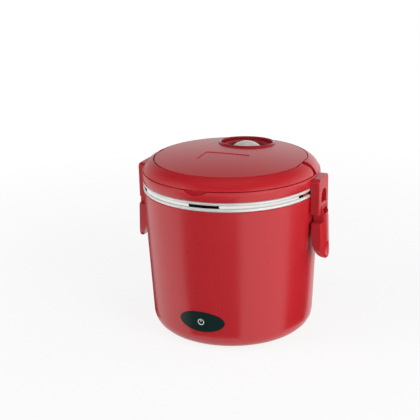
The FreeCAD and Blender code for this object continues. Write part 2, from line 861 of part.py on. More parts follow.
def lid_top():
    edge = top_radius - top_gap
    dome_centre = V(0, 0, top_z + dome_rise - dome_radius)
    blank = flats(edge, pivot_flat - top_gap, top_seat_z, top_z + dome_rise + overrun)
    cover = blank.common(Part.makeSphere(dome_radius, dome_centre))
    hollow = flats(top_radius - ring_wall, pivot_inner_x, top_seat_z - overrun, top_z + dome_rise)
    hollow = hollow.common(Part.makeSphere(dome_radius - top_thickness, dome_centre))
    posts = [disc(post_radius, liner_top_z, top_z, x, y) for x, y in posts_at]
    cover = cover.cut(hollow).fuse(posts)
    recess_y = span(plate_recess_length, -plate_recess_front)
    recess = block(span(plate_recess_width), recess_y, (0, top_z + overrun))
    floor = Part.makeSphere(dome_radius - plate_recess_depth, dome_centre)
    for x, y in posts_at:
        cover = cover.cut(disc(screw_radius, 0, liner_top_z + lid_screw_length, x, y))
    cover = cover.cut(recess.cut(floor))
    return cover.cut(set_in_vent(disc(vent_radius + seat_gap, -tube_drop, overrun))).removeSplitter()


def vent_cup():
    floor = -vent_depth
    inner_lip = vent_radius - vent_lip
    sag = (inner_lip + vent_floor_radius) / 2
    bow = vent_depth * vent_bow_share
    via = (sag + bow, floor / 2 - bow)
    low = floor - vent_wall
    via_out = (via[0] + vent_wall / 2, via[1] - vent_wall)
    crest = (vent_radius - vent_lip / 2, vent_lip * vent_crest_share)
    shape = profile((tube_bore, floor + seat_height), (seat_radius, floor + seat_height),
                    (seat_radius, floor),
                    (vent_floor_radius, floor), (via, (inner_lip, 0)), (crest, (vent_radius, 0)),
                    (vent_radius, -vent_collar), (via_out, (vent_floor_radius, low)), (tube_radius, low),
                    (tube_radius, -tube_drop), (tube_bore, -tube_drop))
    return set_in_vent(lathe(shape))


knob_base = -vent_depth + move_gap
washer_low = -vent_depth + seat_height + washer_squeeze
washer_top = washer_low + washer_thickness
clip_top = -tube_drop - valve_travel - move_gap
stem_low = clip_top - clip_thickness - stem_tail


def valve_knob():
    dome = Part.makeSphere(knob_dome, V(0, 0, knob_rise - knob_dome))
    dome = dome.common(disc(knob_radius, knob_base, knob_rise + overrun))
    dome = dome.cut(disc(knob_recess_radius, knob_base - overrun, washer_top))
    stem = disc(stem_radius, stem_low, washer_top)
    groove = hoop(stem_radius + overrun, stem_radius - stem_groove, clip_top - clip_thickness, clip_top)
    return set_in_vent(dome.fuse(stem).cut(groove).removeSplitter())


def valve_washer():
    return set_in_vent(hoop(knob_recess_radius - seat_gap, stem_radius + pin_play, washer_low, washer_top))


def valve_clip():
    ring = hoop(clip_radius, stem_radius - stem_groove + pin_play, clip_top - clip_thickness, clip_top)
    return set_in_vent(ring)


# Lid liner, seal and screws

def lid_liner():
    skirt = hoop(liner_skirt_radius, liner_skirt_radius - liner_skirt_wall,
                 liner_z - liner_skirt_height, liner_z)
    liner = disc(liner_radius, liner_z, liner_top_z).fuse(skirt)
    for x, y in posts_at:
        liner = liner.cut(disc(screw_radius + seat_gap, 0, top_z, x, y))
    return liner.cut(set_in_vent(disc(tube_radius + move_gap, stem_low, 0))).removeSplitter()


def lid_seal():
    low = liner_z - seal_thickness
    ring = hoop(seal_radius, liner_skirt_radius + seat_gap, low, liner_z)
    middle = (seal_radius + liner_skirt_radius) / 2
    groove = hoop(middle + seal_groove, middle - seal_groove, low, low + seal_groove)
    return ring.cut(groove)


def lid_screws():
    return [screw_up(x, y, liner_z, lid_screw_length + liner_thickness) for x, y in posts_at]


# Carry handle

def carry_handle():
    wall = flats(top_radius + handle_gap, pivot_flat + handle_gap, ledge_z, top_z + overrun)
    shoulder = shoulder_solid().cut(wall)
    low = ledge_z + handle_lift
    front = block(span(2 * rim_radius), (-rim_radius - overrun, -pivot_setback), (low, top_z + overrun))
    axis = (V(-rim_radius, -pivot_setback, pivot_z), V(rim_radius, -pivot_setback, pivot_z))
    ends = rod(pivot_round, axis[0], axis[1])
    ends = ends.common(block(span(2 * rim_radius), (-pivot_setback, rim_radius), (0, top_z + overrun)))
    body = shoulder.common(front).fuse(shoulder.common(ends))
    core = shoulder_core(handle_wall)
    core_y = (-rim_radius, -pivot_setback - handle_core_end)
    core = core.common(block(span(2 * rim_radius), core_y, (0, top_z)))
    tip = V(pivot_flat + handle_gap + pivot_pin_reach + move_gap, 0, 0)
    middle = V(0, -pivot_setback, pivot_z)
    return body.cut([core, rod(pivot_pin_radius + pin_play, middle - tip, middle + tip)]).removeSplitter()


# Latch bracket, pin and lever, drawn for the right side

arch_radius = arch_width / 2
arch_centre_z = bracket_top_z - arch_crown - arch_radius


def latch_bracket():
    blank = block((0, bracket_face), span(bracket_width), (bracket_low_z, bracket_top_z))
    highest = bracket_top_z - pin_play
    blank = rounded(blank, bracket_top_round,
                    lambda edge: runs_along(edge, ALONG_X) and edge.CenterOfMass.z > highest)
    blank = rounded(blank, bracket_round,
                    lambda edge: edge.BoundBox.XMin > rim_radius and edge.BoundBox.ZMax > arch_centre_z)
    arch_x = (latch_inner + arch_web, bracket_face + overrun)
    slot = block(arch_x, span(arch_width), (0, arch_centre_z))
    crown = rod(arch_radius, V(arch_x[0], 0, arch_centre_z), V(arch_x[1], 0, arch_centre_z))
    below = block((0, bracket_face), span(arch_width), (0, latch_pin_z))
    body = blank.cut([slot, crown, below, band_solid(), disc(latch_inner, 0, skirt_z)])
    body = body.cut(disc(band_radius, 0, bracket_top_z + overrun))
    body = body.cut(latch_pin())
    for y in span(bracket_screw_pitch):
        body = body.cut(rod(screw_radius, V(0, y, bracket_screw_z), bracket_screw_tip(y)))
    return body


bracket_screw_seat = math.sqrt((band_radius - band_wall) ** 2
                               - (bracket_screw_pitch / 2 + screw_head_radius) ** 2) - pin_play


def bracket_screw_tip(y):
    return V(bracket_screw_seat + bracket_screw_length, y, bracket_screw_z)


def bracket_screws():
    screws = []
    for y in span(bracket_screw_pitch):
        seat = V(bracket_screw_seat, y, bracket_screw_z)
        head = rod(screw_head_radius, seat - V(screw_head_height, 0, 0), seat)
        screws.append(head.fuse(rod(screw_radius, seat, bracket_screw_tip(y))).removeSplitter())
    return screws + [mirrored(screw) for screw in screws]


def latch_pin():
    half = arch_radius + latch_pin_grip
    return rod(latch_pin_radius, V(latch_pin_x, -half, latch_pin_z), V(latch_pin_x, half, latch_pin_z))


def latch_lever():
    low = lever_low_z
    heel = (latch_inner, low + lever_heel)
    toe = (latch_inner + lever_heel_depth, low)
    heel_radius = (lever_heel ** 2 + lever_heel_depth ** 2) / (2 * lever_heel_depth)
    sweep = math.degrees(math.asin(lever_heel / heel_radius))
    bend = corner((latch_inner + heel_radius, heel[1]), heel_radius, 180 + sweep / 2)
    face = lever_face + lever_flare
    shoulder_z = latch_pin_z - lever_shoulder
    side = profile((latch_inner, shoulder_z), (face, shoulder_z), (face, low), toe, (bend, heel))
    grip = side.extrude(V(0, bracket_width, 0))
    grip.translate(V(0, -bracket_width / 2, 0))
    tongue_y = span(arch_width - 2 * tongue_gap)
    back_x = latch_pin_x - barrel_radius
    step_z = bracket_low_z - move_gap
    tongue = profile((latch_inner, shoulder_z - overrun), (face, shoulder_z - overrun), (face, shoulder_z),
                     (latch_pin_x + barrel_radius, latch_pin_z), (back_x, latch_pin_z), (back_x, step_z),
                     (latch_inner, step_z))
    tongue = tongue.extrude(V(0, tongue_y[1] - tongue_y[0], 0))
    tongue.translate(V(0, tongue_y[0], 0))
    crown_x = lever_face - lever_crown_radius
    flare = lever_crown_radius + lever_flare
    crown = Part.makeCone(flare, lever_crown_radius, shoulder_z - low, V(crown_x, 0, low))
    crown = crown.fuse(disc(lever_crown_radius, shoulder_z, latch_pin_z, crown_x))
    grip = grip.common(crown)
    front = block((0, face), span(bracket_width), (low, shoulder_z))
    front = rounded(front, lever_end_round,
                    lambda edge: runs_along(edge, ALONG_X) and edge.CenterOfMass.z < shoulder_z - overrun)
    grip = grip.common(front)
    tongue_ends = [V(latch_pin_x, y, latch_pin_z) for y in tongue_y]
    barrel = rod(barrel_radius, tongue_ends[0], tongue_ends[1])
    body = grip.fuse([tongue.common(crown), barrel]).removeSplitter()
    window_top = latch_pin_z - window_drop
    window_y = span(arch_width - 2 * tongue_gap - 2 * window_cheek)
    window = block((0, face + overrun), window_y, (window_top - window_height, window_top))
    pocket = block((0, latch_inner + pocket_depth), span(lug_width + 2 * pocket_gap),
                   (pocket_top_z - pocket_height, pocket_top_z))
    dimple = Part.makeSphere(dimple_radius, V(face + dimple_radius - dimple_depth, 0, low + dimple_rise))
    axis = (V(latch_pin_x, -bracket_width, latch_pin_z), V(latch_pin_x, bracket_width, latch_pin_z))
    return body.cut([window, pocket, dimple, rod(latch_pin_radius + pin_play, axis[0], axis[1])])


os.makedirs("parts", exist_ok=True)

save(outer_casing(), "outer_casing")
save(base_cover(), "base_cover")
group(cover_screws(), "base_cover_screws")
group(feet(), "rubber_feet")
save(heating_pot(), "heating_pot")
save(heating_plate(), "heating_plate")
save(heating_element(), "heating_element")
group(plate_studs(), "plate_studs")
group(plate_nuts(), "plate_nuts")
save(thermostat(), "thermostat")
group(thermostat_screws(), "thermostat_screws")
save(fuse_bar(fuse_radius), "thermal_fuse")
save(fuse_clip(), "fuse_clip")
save(power_inlet(), "power_inlet")
group([blade_bar(name, 0) for name in blades], "inlet_blades")
save(indicator_lens(), "indicator_lens")
save(indicator_lamp(), "indicator_lamp")
save(lamp_retainer(), "lamp_retainer")
save(drop_lead(blade_tail_point("live"), thermostat_point(0), lead_z), "live_lead")
save(drop_lead(blade_tail_point("neutral"), element_end_point(1), lead_z + lead_step), "neutral_lead")
save(drop_lead(blade_tail_point("earth"), stud_point(), lead_z), "earth_lead")
group(fuse_links(), "fuse_links")
group(lamp_leads(), "lamp_leads")
save(food_bowl(), "food_bowl")
save(lid_ring(), "lid_ring")
save(lid_top(), "lid_top")
save(vent_cup(), "vent_cup")
save(lid_liner(), "lid_liner")
save(lid_seal(), "lid_seal")
group(lid_screws(), "lid_screws")
group(handle_pins(), "handle_pins")
save(carry_handle(), "carry_handle")
save(valve_knob(), "valve_knob")
save(valve_washer(), "valve_washer")
save(valve_clip(), "valve_clip")
group(bracket_screws(), "bracket_screws")
for side, place in (("right", lambda solid: solid), ("left", mirrored)):
    save(place(latch_bracket()), "latch_bracket_" + side)
    save(place(latch_pin()), "latch_pin_" + side)
    save(place(latch_lever()), "latch_lever_" + side)
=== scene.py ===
import json
import math

import bpy
from bpy.props import FloatProperty, FloatVectorProperty, PointerProperty
from bpy.types import Operator, Panel, PropertyGroup
from mathutils import Matrix, Vector

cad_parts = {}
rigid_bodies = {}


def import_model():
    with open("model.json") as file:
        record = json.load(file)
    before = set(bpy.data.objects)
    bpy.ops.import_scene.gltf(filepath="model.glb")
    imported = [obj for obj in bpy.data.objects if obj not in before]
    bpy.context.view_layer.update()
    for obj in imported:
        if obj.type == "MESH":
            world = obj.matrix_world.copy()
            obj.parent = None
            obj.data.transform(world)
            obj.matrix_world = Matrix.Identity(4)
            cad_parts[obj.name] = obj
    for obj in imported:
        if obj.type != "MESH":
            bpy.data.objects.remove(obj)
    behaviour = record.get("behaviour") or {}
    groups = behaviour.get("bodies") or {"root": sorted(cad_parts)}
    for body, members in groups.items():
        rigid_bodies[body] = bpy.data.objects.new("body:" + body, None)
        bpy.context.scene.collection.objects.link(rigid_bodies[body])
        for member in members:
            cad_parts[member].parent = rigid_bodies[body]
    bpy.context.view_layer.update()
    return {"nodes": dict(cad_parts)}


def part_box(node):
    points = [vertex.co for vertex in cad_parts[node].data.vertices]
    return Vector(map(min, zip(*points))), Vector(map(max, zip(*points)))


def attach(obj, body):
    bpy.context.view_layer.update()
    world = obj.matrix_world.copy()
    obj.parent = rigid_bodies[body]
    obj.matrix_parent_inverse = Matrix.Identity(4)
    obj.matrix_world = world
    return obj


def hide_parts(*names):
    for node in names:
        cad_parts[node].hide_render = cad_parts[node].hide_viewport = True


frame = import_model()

bl_info = {
    "name": "Electric lunch box",
    "version": (1, 0, 0),
    "blender": (4, 5, 0),
    "location": "View3D > Sidebar > Lunch box",
    "description": "Models a round electric lunch box round its CAD frame",
    "category": "Object",
}

MM = 0.001
WELD = 0.002 * MM           # points closer than this are one
TURN_STEPS = 180            # faces round a turned piece
CORNER_STEPS = 5            # faces round an eased corner
SMOOTH_ANGLE = math.radians(33)
FULL_TURN = 2 * math.pi
OVERCUT = 5 * MM            # tools run past what they cut by this
DOME_STEPS = 26             # points from the dome's middle to its edge
FLAKE_SCALE = 2600.0        # size of the metal flake in the knob's plastic

# The studio wall, as gloss shows it: from and to, upwards or to the right, and its share at each of the two
WALL_HEIGHTS = (0.10, 0.75, 1.0, 0.08)
WALL_SIDES = (-0.5, 0.4, 0.6, 1.1)
FILL_SHARE = 0.5            # the wall lights the object by this share of what gloss shows of it
FLOOR_RADIUS = 6.0
FLOOR_GLOW = (0.15, 0.7, 0.85, 1.0)     # from and to in metres from the middle, and the floor's glow at each
AIM = Vector((0, 0, 0.08))
LAMPS = (                   # name, place seen from the camera, width and power
    ("lamp_left", (-0.95, -0.25, 0.55), 0.8, 6.0),
    ("lamp_right", (0.75, -0.85, 0.50), 0.8, 9.5),
    ("lamp_side", (1.05, 0.15, 0.40), 0.8, 3.4),
    ("lamp_top", (0.0, -0.10, 1.15), 1.0, 2.4),
)
# Dark cards that gloss shows: from and to in degrees round from the camera,
# and from and to in metres along the floor
CARD_SPANS = (
    (-89.0, -71.0, 0.01, 0.36), (-33.0, 4.6, 0.01, 0.36), (39.5, 67.0, 0.01, 0.36),
    (-89.0, -70.0, 0.36, 0.46), (-27.0, -7.5, 0.36, 0.46), (46.6, 66.5, 0.36, 0.46),
    (-89.0, -71.0, 0.46, 2.00), (-33.0, 4.6, 0.46, 2.00), (39.5, 67.0, 0.46, 2.00),
)
CARD_STEPS = 16             # points along a card's curved edge
CARD_HEIGHT = 0.5 * MM


def length(millimetres, note):
    return FloatProperty(description=note, default=millimetres * MM, unit="LENGTH", precision=4)


def angle(degrees, note):
    return FloatProperty(description=note, default=math.radians(degrees), subtype="ANGLE")


def colour(rgb, note):
    return FloatVectorProperty(description=note, default=(*rgb, 1.0), size=4, min=0.0, max=1.0,
                               subtype="COLOR")


def top_of(node):
    """Height of a CAD node's top, in millimetres."""
    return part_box(node)[1].z / MM


class LunchBoxCasing(PropertyGroup):
    """Sizes of the casing, its cover and feet."""
    rim_radius: length(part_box("outer_casing")[1].y / MM, "Casing radius at its top edge")
    rim_z: length(top_of("outer_casing"), "Height of the casing's top edge")
    taper: length(6.2, "The wall draws in by this from the rim to the underside")
    base_z: length(1.5, "Height of the casing's underside")
    wall: length(2.4, "Wall thickness")
    corner: length(13.7, "Rounding of the lower corner")
    floor_z: length(4.5, "Underside of the casing's floor")
    floor_top_z: length(6.9, "Top of the casing's floor")
    cover_radius: length(58.0, "Radius of the cover under the casing")
    opening_radius: length(46.0, "Radius of the service opening")
    plug_top_z: length(7.0, "Top of the cover's locating ring")
    screw_circle: length(52.0, "Circle of the screws and feet")
    screw_seat_z: length(3.3, "Height of the sunk screws' seats")
    screw_head: length(2.4, "Radius of a screw head")
    screw_head_height: length(1.6, "Height of a screw head")
    screw_shank: length(1.5, "Radius of a screw's shank")
    cover_screw_length: length(9.0, "Length of a cover screw's shank")
    foot_radius: length(6.0, "Radius of a rubber foot")
    foot_stem: length(2.5, "Radius of a foot's stem")
    lug_low_z: length(102.9, "Underside of the catch lugs")
    lug_height: length(4.0, "Height of the catch lugs")
    lug_width: length(12.0, "Width of the catch lugs")
    lug_reach: length(0.25, "How far a lug stands out past the rim radius")


class LunchBoxSteel(PropertyGroup):
    """Sizes of the heating pot and the food bowl."""
    pot_radius: length(71.42, "Outer radius of the heating pot")
    pot_wall: length(0.8, "Wall of the heating pot")
    pot_z: length(42.0, "Height of the pot's underside")
    pot_corner: length(6.0, "Rounding of the pot's floor corner")
    bead_radius: length(80.1, "Outer radius of the lower bead")
    bead_width: length(3.4, "Width of the lower bead")
    bead_round: length(1.7, "Rounding of the lower bead")
    collar_z: length(135.4, "Height where the recessed collar starts")
    collar_inset: length(0.9, "The collar lies this far behind the bead")
    seat_z: length(top_of("heating_pot"), "Height of the seat under the bowl's bead")
    bowl_radius: length(69.82, "Outer radius of the food bowl")
    bowl_wall: length(0.7, "Wall of the food bowl")
    bowl_z: length(43.2, "Height of the bowl's underside")
    bowl_corner: length(10.0, "Rounding of the bowl's floor corner")
    bowl_rim: length(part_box("food_bowl")[1].y / MM, "Outer radius of the bowl's bead")
    bowl_top_z: length(top_of("food_bowl"), "Height of the bowl's bead")
    bowl_bead_width: length(3.2, "Width of the bowl's bead")
    bowl_bead_round: length(1.45, "Rounding of the bowl's bead")


class LunchBoxLid(PropertyGroup):
    """Sizes of the lid's pieces and the carry handle."""
    band_radius: length(80.2, "Radius of the band's two edges")
    band_bulge: length(0.8, "The band stands out by this at its middle")
    band_wall: length(2.4, "Wall of the band")
    skirt_z: length(141.0, "Height of the band's lower edge")
    ledge_z: length(149.6, "Height of the ledge under the handle")
    ledge_thickness: length(2.4, "Thickness of the ledge")
    shoulder_inset: length(0.4, "Shoulder foot behind the band's edge")
    shoulder_radius: length(17.2, "Rounding of the shoulder")
    top_radius: length(69.5, "Where the shoulder meets the domed top")
    top_z: length(159.6, "Height of the shoulder's top")
    pivot_flat: length(67.8, "Half width across the flats at the pivots")
    ring_wall: length(2.6, "Wall between the handle and the lid's inside")
    liner_z: length(142.3, "Height of the liner's underside")
    liner_thickness: length(1.4, "Thickness of the liner")
    liner_radius: length(74.0, "Radius of the liner")
    skirt_radius: length(66.82, "Radius of the liner's skirt")
    skirt_wall: length(1.4, "Wall of the liner's skirt")
    skirt_drop: length(4.5, "Height of the liner's skirt")
    seal_radius: length(75.5, "Outer radius of the seal")
    seal_thickness: length(1.4, "Thickness of the seal")
    channel_mouth: length(3.0, "Rear shoulder starts this far behind the centre")
    notch_width: length(22.0, "Width of the finger notch")
    notch_depth: length(3.7, "Depth of the finger notch")
    notch_reach: length(2.8, "How far the finger notch goes in")
    top_gap: length(0.6, "Groove round the domed top")
    top_thickness: length(2.2, "Thickness of the domed top")
    dome_rise: length(4.3, "Rise of the domed top")
    panel_width: length(42.0, "Width of the sunk bare panel")
    panel_length: length(24.0, "Length of the sunk bare panel")
    panel_depth: length(0.5, "Depth of the sunk bare panel")
    panel_front: length(18.0, "Panel centre in front of the lid's centre")
    screw_circle: length(47.96, "Circle of the liner's screws")
    screw_length: length(10.4, "Length of a liner screw's shank")
    handle_gap: length(0.5, "Handle beside the lid's wall")
    handle_lift: length(0.4, "Handle above the ledge")
    handle_wall: length(2.6, "Skin of the hollow handle")
    handle_solid: length(18.0, "The handle is solid this far from its pivots")
    pivot_setback: length(7.2, "Handle pivots in front of the centre line")
    pin_radius: length(1.5, "Radius of the handle's pins")


class LunchBoxVent(PropertyGroup):
    """Sizes of the steam vent and its knob, along their leaning axis."""
    setback: length(40.62, "Vent centre behind the lid's centre")
    lip_z: length(162.54, "Height of the lip at the vent's centre")
    lean: angle(4.1, "The vent leans back with the dome")
    radius: length(26.48, "Outer radius of the vent cup")
    lip: length(2.4, "Width of the lip")
    lip_round: length(1.207, "Rounding of the lip's crown")
    depth: length(8.0, "Depth of the cup")
    wall: length(1.6, "Wall of the cup")
    collar: length(2.9, "Straight part below the lip")
    floor_radius: length(17.13, "Radius of the cup's floor")
    inner_round: length(6.38, "Rounding of the cup's inside")
    outer_round: length(9.12, "Rounding of the cup's underside")
    seat_radius: length(6.2, "Radius of the valve seat")
    seat_height: length(1.0, "Height of the valve seat")
    tube_radius: length(5.0, "Radius of the steam tube")
    tube_bore: length(3.0, "Bore of the steam tube")
    tube_drop: length(19.0, "Tube end below the lip")
    knob_rise: length(1.3, "Knob top above the lip")
    knob_radius: length(12.79, "Radius of the knob")
    knob_dome: length(20.46, "Rounding of the knob's top")
    knob_edge: length(1.2, "Rounding between the knob's top and side")
    knob_gap: length(0.4, "Knob above the cup's floor")
    knob_hollow: length(9.17, "Radius of the hollow under the knob")
    hollow_top: length(-5.3, "Top of the hollow, from the lip")
    stem_radius: length(2.6, "Radius of the valve's stem")
    stem_low: length(-25.5, "Lower end of the stem, from the lip")
    groove_top: length(-23.4, "Top of the clip's groove, from the lip")
    groove_height: length(0.9, "Height of the clip's groove")
    groove_depth: length(0.7, "Depth of the clip's groove")


class LunchBoxLatch(PropertyGroup):
    """Sizes of a latch bracket and lever."""
    inner: length(80.6, "Inner face of the lever and bracket")
    width: length(27.0, "Width of the bracket and lever")
    face: length(87.6, "Outer face of the bracket")
    top_z: length(148.7, "Top of the bracket")
    low_z: length(116.7, "Lower end of the bracket")
    side_round: length(0.9, "Rounding of the bracket's outer edges")
    top_round: length(3.5, "Rounding of the bracket's upper corners")
    arch_width: length(14.5, "Width of the arch")
    arch_crown: length(10.6, "Solid above the arch")
    arch_web: length(1.6, "Thin wall behind the arch")
    pin_x: length(85.2, "Place of the pin from the centre")
    pin_z: length(122.9, "Height of the pin")
    pin_hole: length(1.3, "Radius of the lever's pin hole")
    barrel: length(2.6, "Rounded top of the lever's tongue")
    tongue_gap: length(0.3, "Tongue beside each leg")
    tongue_step_z: length(116.3, "The tongue's back steps in at this height")
    shoulder_drop: length(13.9, "The grip starts this far below the pin")
    lever_low_z: length(74.3, "Lower end of the lever")
    lever_face: length(90.6, "Outer face of the lever at its shoulder")
    crown_radius: length(38.0, "Rounding across the lever's face")
    flare: length(1.2, "The face stands out further at the lower end")
    end_round: length(12.0, "Rounding of the lever's lower end")
    heel: length(22.0, "Inner face rounds off over this height")
    heel_depth: length(9.5, "Depth of the rounded heel")
    window_width: length(11.5, "Width of the opening through the tongue")
    window_height: length(5.0, "Height of the opening through the tongue")
    window_drop: length(2.3, "Opening below the pin")
    pocket_top_z: length(107.5, "Top of the pocket that takes the lug")
    pocket_height: length(7.0, "Height of the pocket")
    pocket_width: length(13.2, "Width of the pocket")
    pocket_depth: length(2.6, "Depth of the pocket")
    dimple_radius: length(10.0, "Rounding of the finger dimple")
    dimple_depth: length(3.0, "Depth of the finger dimple")
    dimple_rise: length(9.0, "Dimple centre above the lower end")
    edge_round: length(0.5, "Rounding of the small edges")


class LunchBoxElectrics(PropertyGroup):
    """Sizes of the indicator lens and the power inlet."""
    lens_z: length(28.5, "Height of the lens centre")
    lens_width: length(42.0, "Width of the oval lens")
    lens_tall: length(19.0, "Height of the oval lens")
    lens_seat: length(0.9, "Depth of the seat in the casing")
    lens_proud: length(0.4, "How far the lens stands out of the casing")
    seat_gap: length(0.2, "Gap round a seated piece")
    symbol_radius: length(2.6, "Radius of the printed power symbol")
    inlet_z: length(28.5, "Height of the inlet's centre")
    inlet_width: length(28.0, "Width of the inlet's body")
    inlet_tall: length(20.0, "Height of the inlet's body")
    inlet_back_y: length(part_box("power_inlet")[0].y / MM, "Back of the inlet's body")
    inlet_wall: length(2.0, "Wall of the inlet's socket")
    inlet_floor: length(4.0, "Thickness of the socket's back wall")
    inlet_flange: length(3.5, "Flange overlap round the window")
    flange_thickness: length(1.2, "Thickness of the flange")
    inlet_corner: length(3.0, "Rounding of the inlet's corners")


class LunchBoxColours(PropertyGroup):
    """Colours of the finishes."""
    red: colour((0.47, 0.0120, 0.0185), "Moulded red shell")
    vent_red: colour((0.26, 0.008, 0.014), "Glossy dark red of the vent cup")
    steel: colour((0.82, 0.81, 0.785), "Polished stainless steel")
    knob: colour((0.70, 0.665, 0.63), "Pale silver of the valve knob")
    lens: colour((0.006, 0.022, 0.019), "Dark green tint of the lens")
    print: colour((0.75, 0.78, 0.76), "Printed symbol on the lens")
    black: colour((0.018, 0.018, 0.019), "Black moulded plastic")
    rubber: colour((0.030, 0.030, 0.031), "Rubber feet")
    white: colour((0.72, 0.71, 0.67), "Off-white moulded plastic")
    silicone: colour((0.62, 0.62, 0.59), "Milky silicone")
    zinc: colour((0.56, 0.56, 0.55), "Zinc-plated steel")
    aluminium: colour((0.62, 0.62, 0.63), "Cast aluminium")
    brass: colour((0.70, 0.50, 0.22), "Brass blades")
    live: colour((0.13, 0.05, 0.02), "Brown insulation")
    neutral: colour((0.02, 0.07, 0.32), "Blue insulation")
    earth: colour((0.08, 0.30, 0.04), "Green insulation")
    amber: colour((0.55, 0.22, 0.04), "Amber lamp")


class LunchBoxStage(PropertyGroup):
    """Camera, light and floor."""
    camera_turn: angle(22.2, "Camera round from the front")
    camera_distance: length(818.6, "Camera from the axis, level")
    camera_height: length(382.4, "Camera above the table")
    camera_yaw: angle(-1.392, "Camera turned from the axis")
    camera_pitch: angle(18.5, "Camera turned down")
    camera_roll: angle(-1.387, "Camera rolled")
    lens: length(80.43, "Focal length on a 36 mm sensor")
    floor: colour((0.90, 0.90, 0.90), "Pale floor")
    card: colour((0.004, 0.004, 0.004), "Dark cards that only gloss shows")


def pick(*pieces):
    """Selects only these objects; the first is the active one."""
    bpy.ops.object.select_all(action="DESELECT")
    for piece in pieces:
        piece.select_set(True)
    bpy.context.view_layer.objects.active = pieces[0]


def eased(*corners, closed=True):
    """Outline through corners of two or three numbers, where the third is the corner's rounding radius."""
    points = []
    for index, corner in enumerate(corners):
        here = Vector(corner[:2])
        at_end = not closed and index in (0, len(corners) - 1)
        if len(corner) < 3 or at_end:
            points.append(here)
            continue
        back = (Vector(corners[index - 1][:2]) - here).normalized()
        on = (Vector(corners[(index + 1) % len(corners)][:2]) - here).normalized()
        half = back.angle(on) / 2
        start = here + back * (corner[2] / math.tan(half))
        end = here + on * (corner[2] / math.tan(half))
        centre = here + (back + on).normalized() * (corner[2] / math.sin(half))
        sweep = (start - centre).angle_signed(end - centre)
        points += [centre + swung(start - centre, -sweep * step / CORNER_STEPS) for step in range(CORNER_STEPS + 1)]
    return [tuple(point) for point in points]


def swung(vector, turn):
    """Flat vector turned anticlockwise."""
    return Matrix.Rotation(turn, 2) @ vector


def bow(start, end, radius, steps=12):
    """Points on an arc that bulges to the left of the way from start to end."""
    start = Vector(start)
    end = Vector(end)
    half = (end - start).length / 2
    left = Vector((start.y - end.y, end.x - start.x)).normalized()
    centre = (start + end) / 2 - left * math.sqrt(radius ** 2 - half ** 2)
    sweep = 2 * math.asin(half / radius)
    return [tuple(centre + swung(start - centre, -sweep * step / steps)) for step in range(steps + 1)]


def half_round(x, z, radius, steps, first=0.0):
    """Points of a half circle round a centre, anticlockwise from a share of a half turn."""
    turns = [math.pi * (step / steps + first) for step in range(steps + 1)]
    return [(x + radius * math.cos(turn), z + radius * math.sin(turn)) for turn in turns]


def oval(width, tall, x, z, steps=96):
    """Oval outline round a centre."""
    turns = [FULL_TURN * step / steps for step in range(steps)]
    return [(x + width / 2 * math.cos(turn), z + tall / 2 * math.sin(turn)) for turn in turns]


def tray(width, tall, x, z, rounding):
    """Rectangle outline with eased corners, round a centre."""
    right, high = width / 2, tall / 2
    return eased((x - right, z - high, rounding), (x + right, z - high, rounding),
                 (x + right, z + high, rounding), (x - right, z + high, rounding))


def drawn(name, points):
    """New piece, left in edit mode, whose mesh is a line extruded from point to point."""
    bpy.ops.object.select_all(action="DESELECT")
    bpy.ops.mesh.primitive_plane_add(size=MM, location=points[0])
    piece = bpy.context.object
    piece.name = name
    piece.data.name = name
    bpy.ops.object.transform_apply(location=True, rotation=True, scale=True)
    bpy.ops.object.mode_set(mode="EDIT")
    bpy.ops.mesh.merge(type="CENTER")
    for here, there in zip(points, points[1:]):
        bpy.ops.mesh.extrude_region_move(TRANSFORM_OT_translate={"value": there - here})
    bpy.ops.mesh.select_all(action="SELECT")
    return piece


def closed_up(piece):
    """Welds doubled points, turns the faces outwards and leaves edit mode."""
    bpy.ops.mesh.select_all(action="SELECT")
    bpy.ops.mesh.remove_doubles(threshold=WELD)
    bpy.ops.mesh.normals_make_consistent(inside=False)
    bpy.ops.object.mode_set(mode="OBJECT")
    return piece


def turned(name, outline, steps=TURN_STEPS):
    """Piece spun round the Z axis from an outline of radius and height; it may start and end on the axis."""
    points = [Vector((radius, 0, height)) for radius, height in outline]
    if outline[0][0] > WELD:
        points.append(points[0])
    piece = drawn(name, points)
    bpy.ops.mesh.spin(steps=steps, angle=FULL_TURN, center=(0, 0, 0), axis=(0, 0, 1))
    return closed_up(piece)


def prism(name, outline, axis, low, high):
    """Outline across an axis, extruded from low to high along it."""
    lay = {"X": lambda a, b: Vector((low, a, b)), "Y": lambda a, b: Vector((a, low, b)),
           "Z": lambda a, b: Vector((a, b, low))}[axis]
    points = [lay(a, b) for a, b in outline]
    piece = drawn(name, points + points[:1])
    bpy.ops.mesh.remove_doubles(threshold=WELD)
    bpy.ops.mesh.edge_face_add()
    along = {"X": (high - low, 0, 0), "Y": (0, high - low, 0), "Z": (0, 0, high - low)}[axis]
    bpy.ops.mesh.extrude_region_move(TRANSFORM_OT_translate={"value": along})
    return closed_up(piece)


def applied(piece, kind, **settings):
    """Adds a modifier with its settings and applies it."""
    pick(piece)
    bpy.ops.object.modifier_add(type=kind)
    modifier = piece.modifiers[-1]
    for key, value in settings.items():
        setattr(modifier, key, value)
    bpy.ops.object.modifier_apply(modifier=modifier.name)
    return piece


def carved(piece, tool, how="DIFFERENCE"):
    """Cuts a tool piece out of a piece, or joins or intersects the two, and removes the tool."""
    applied(piece, "BOOLEAN", operation=how, solver="EXACT", object=tool)
    bpy.data.objects.remove(tool)
    return piece


def trimmed(piece, point, away):
    """Cuts off what lies beyond a plane and closes the cut."""
    pick(piece)
    bpy.ops.object.mode_set(mode="EDIT")
    bpy.ops.mesh.select_all(action="SELECT")
    bpy.ops.mesh.bisect(plane_co=point, plane_no=away, use_fill=True, clear_outer=True)
    return closed_up(piece)


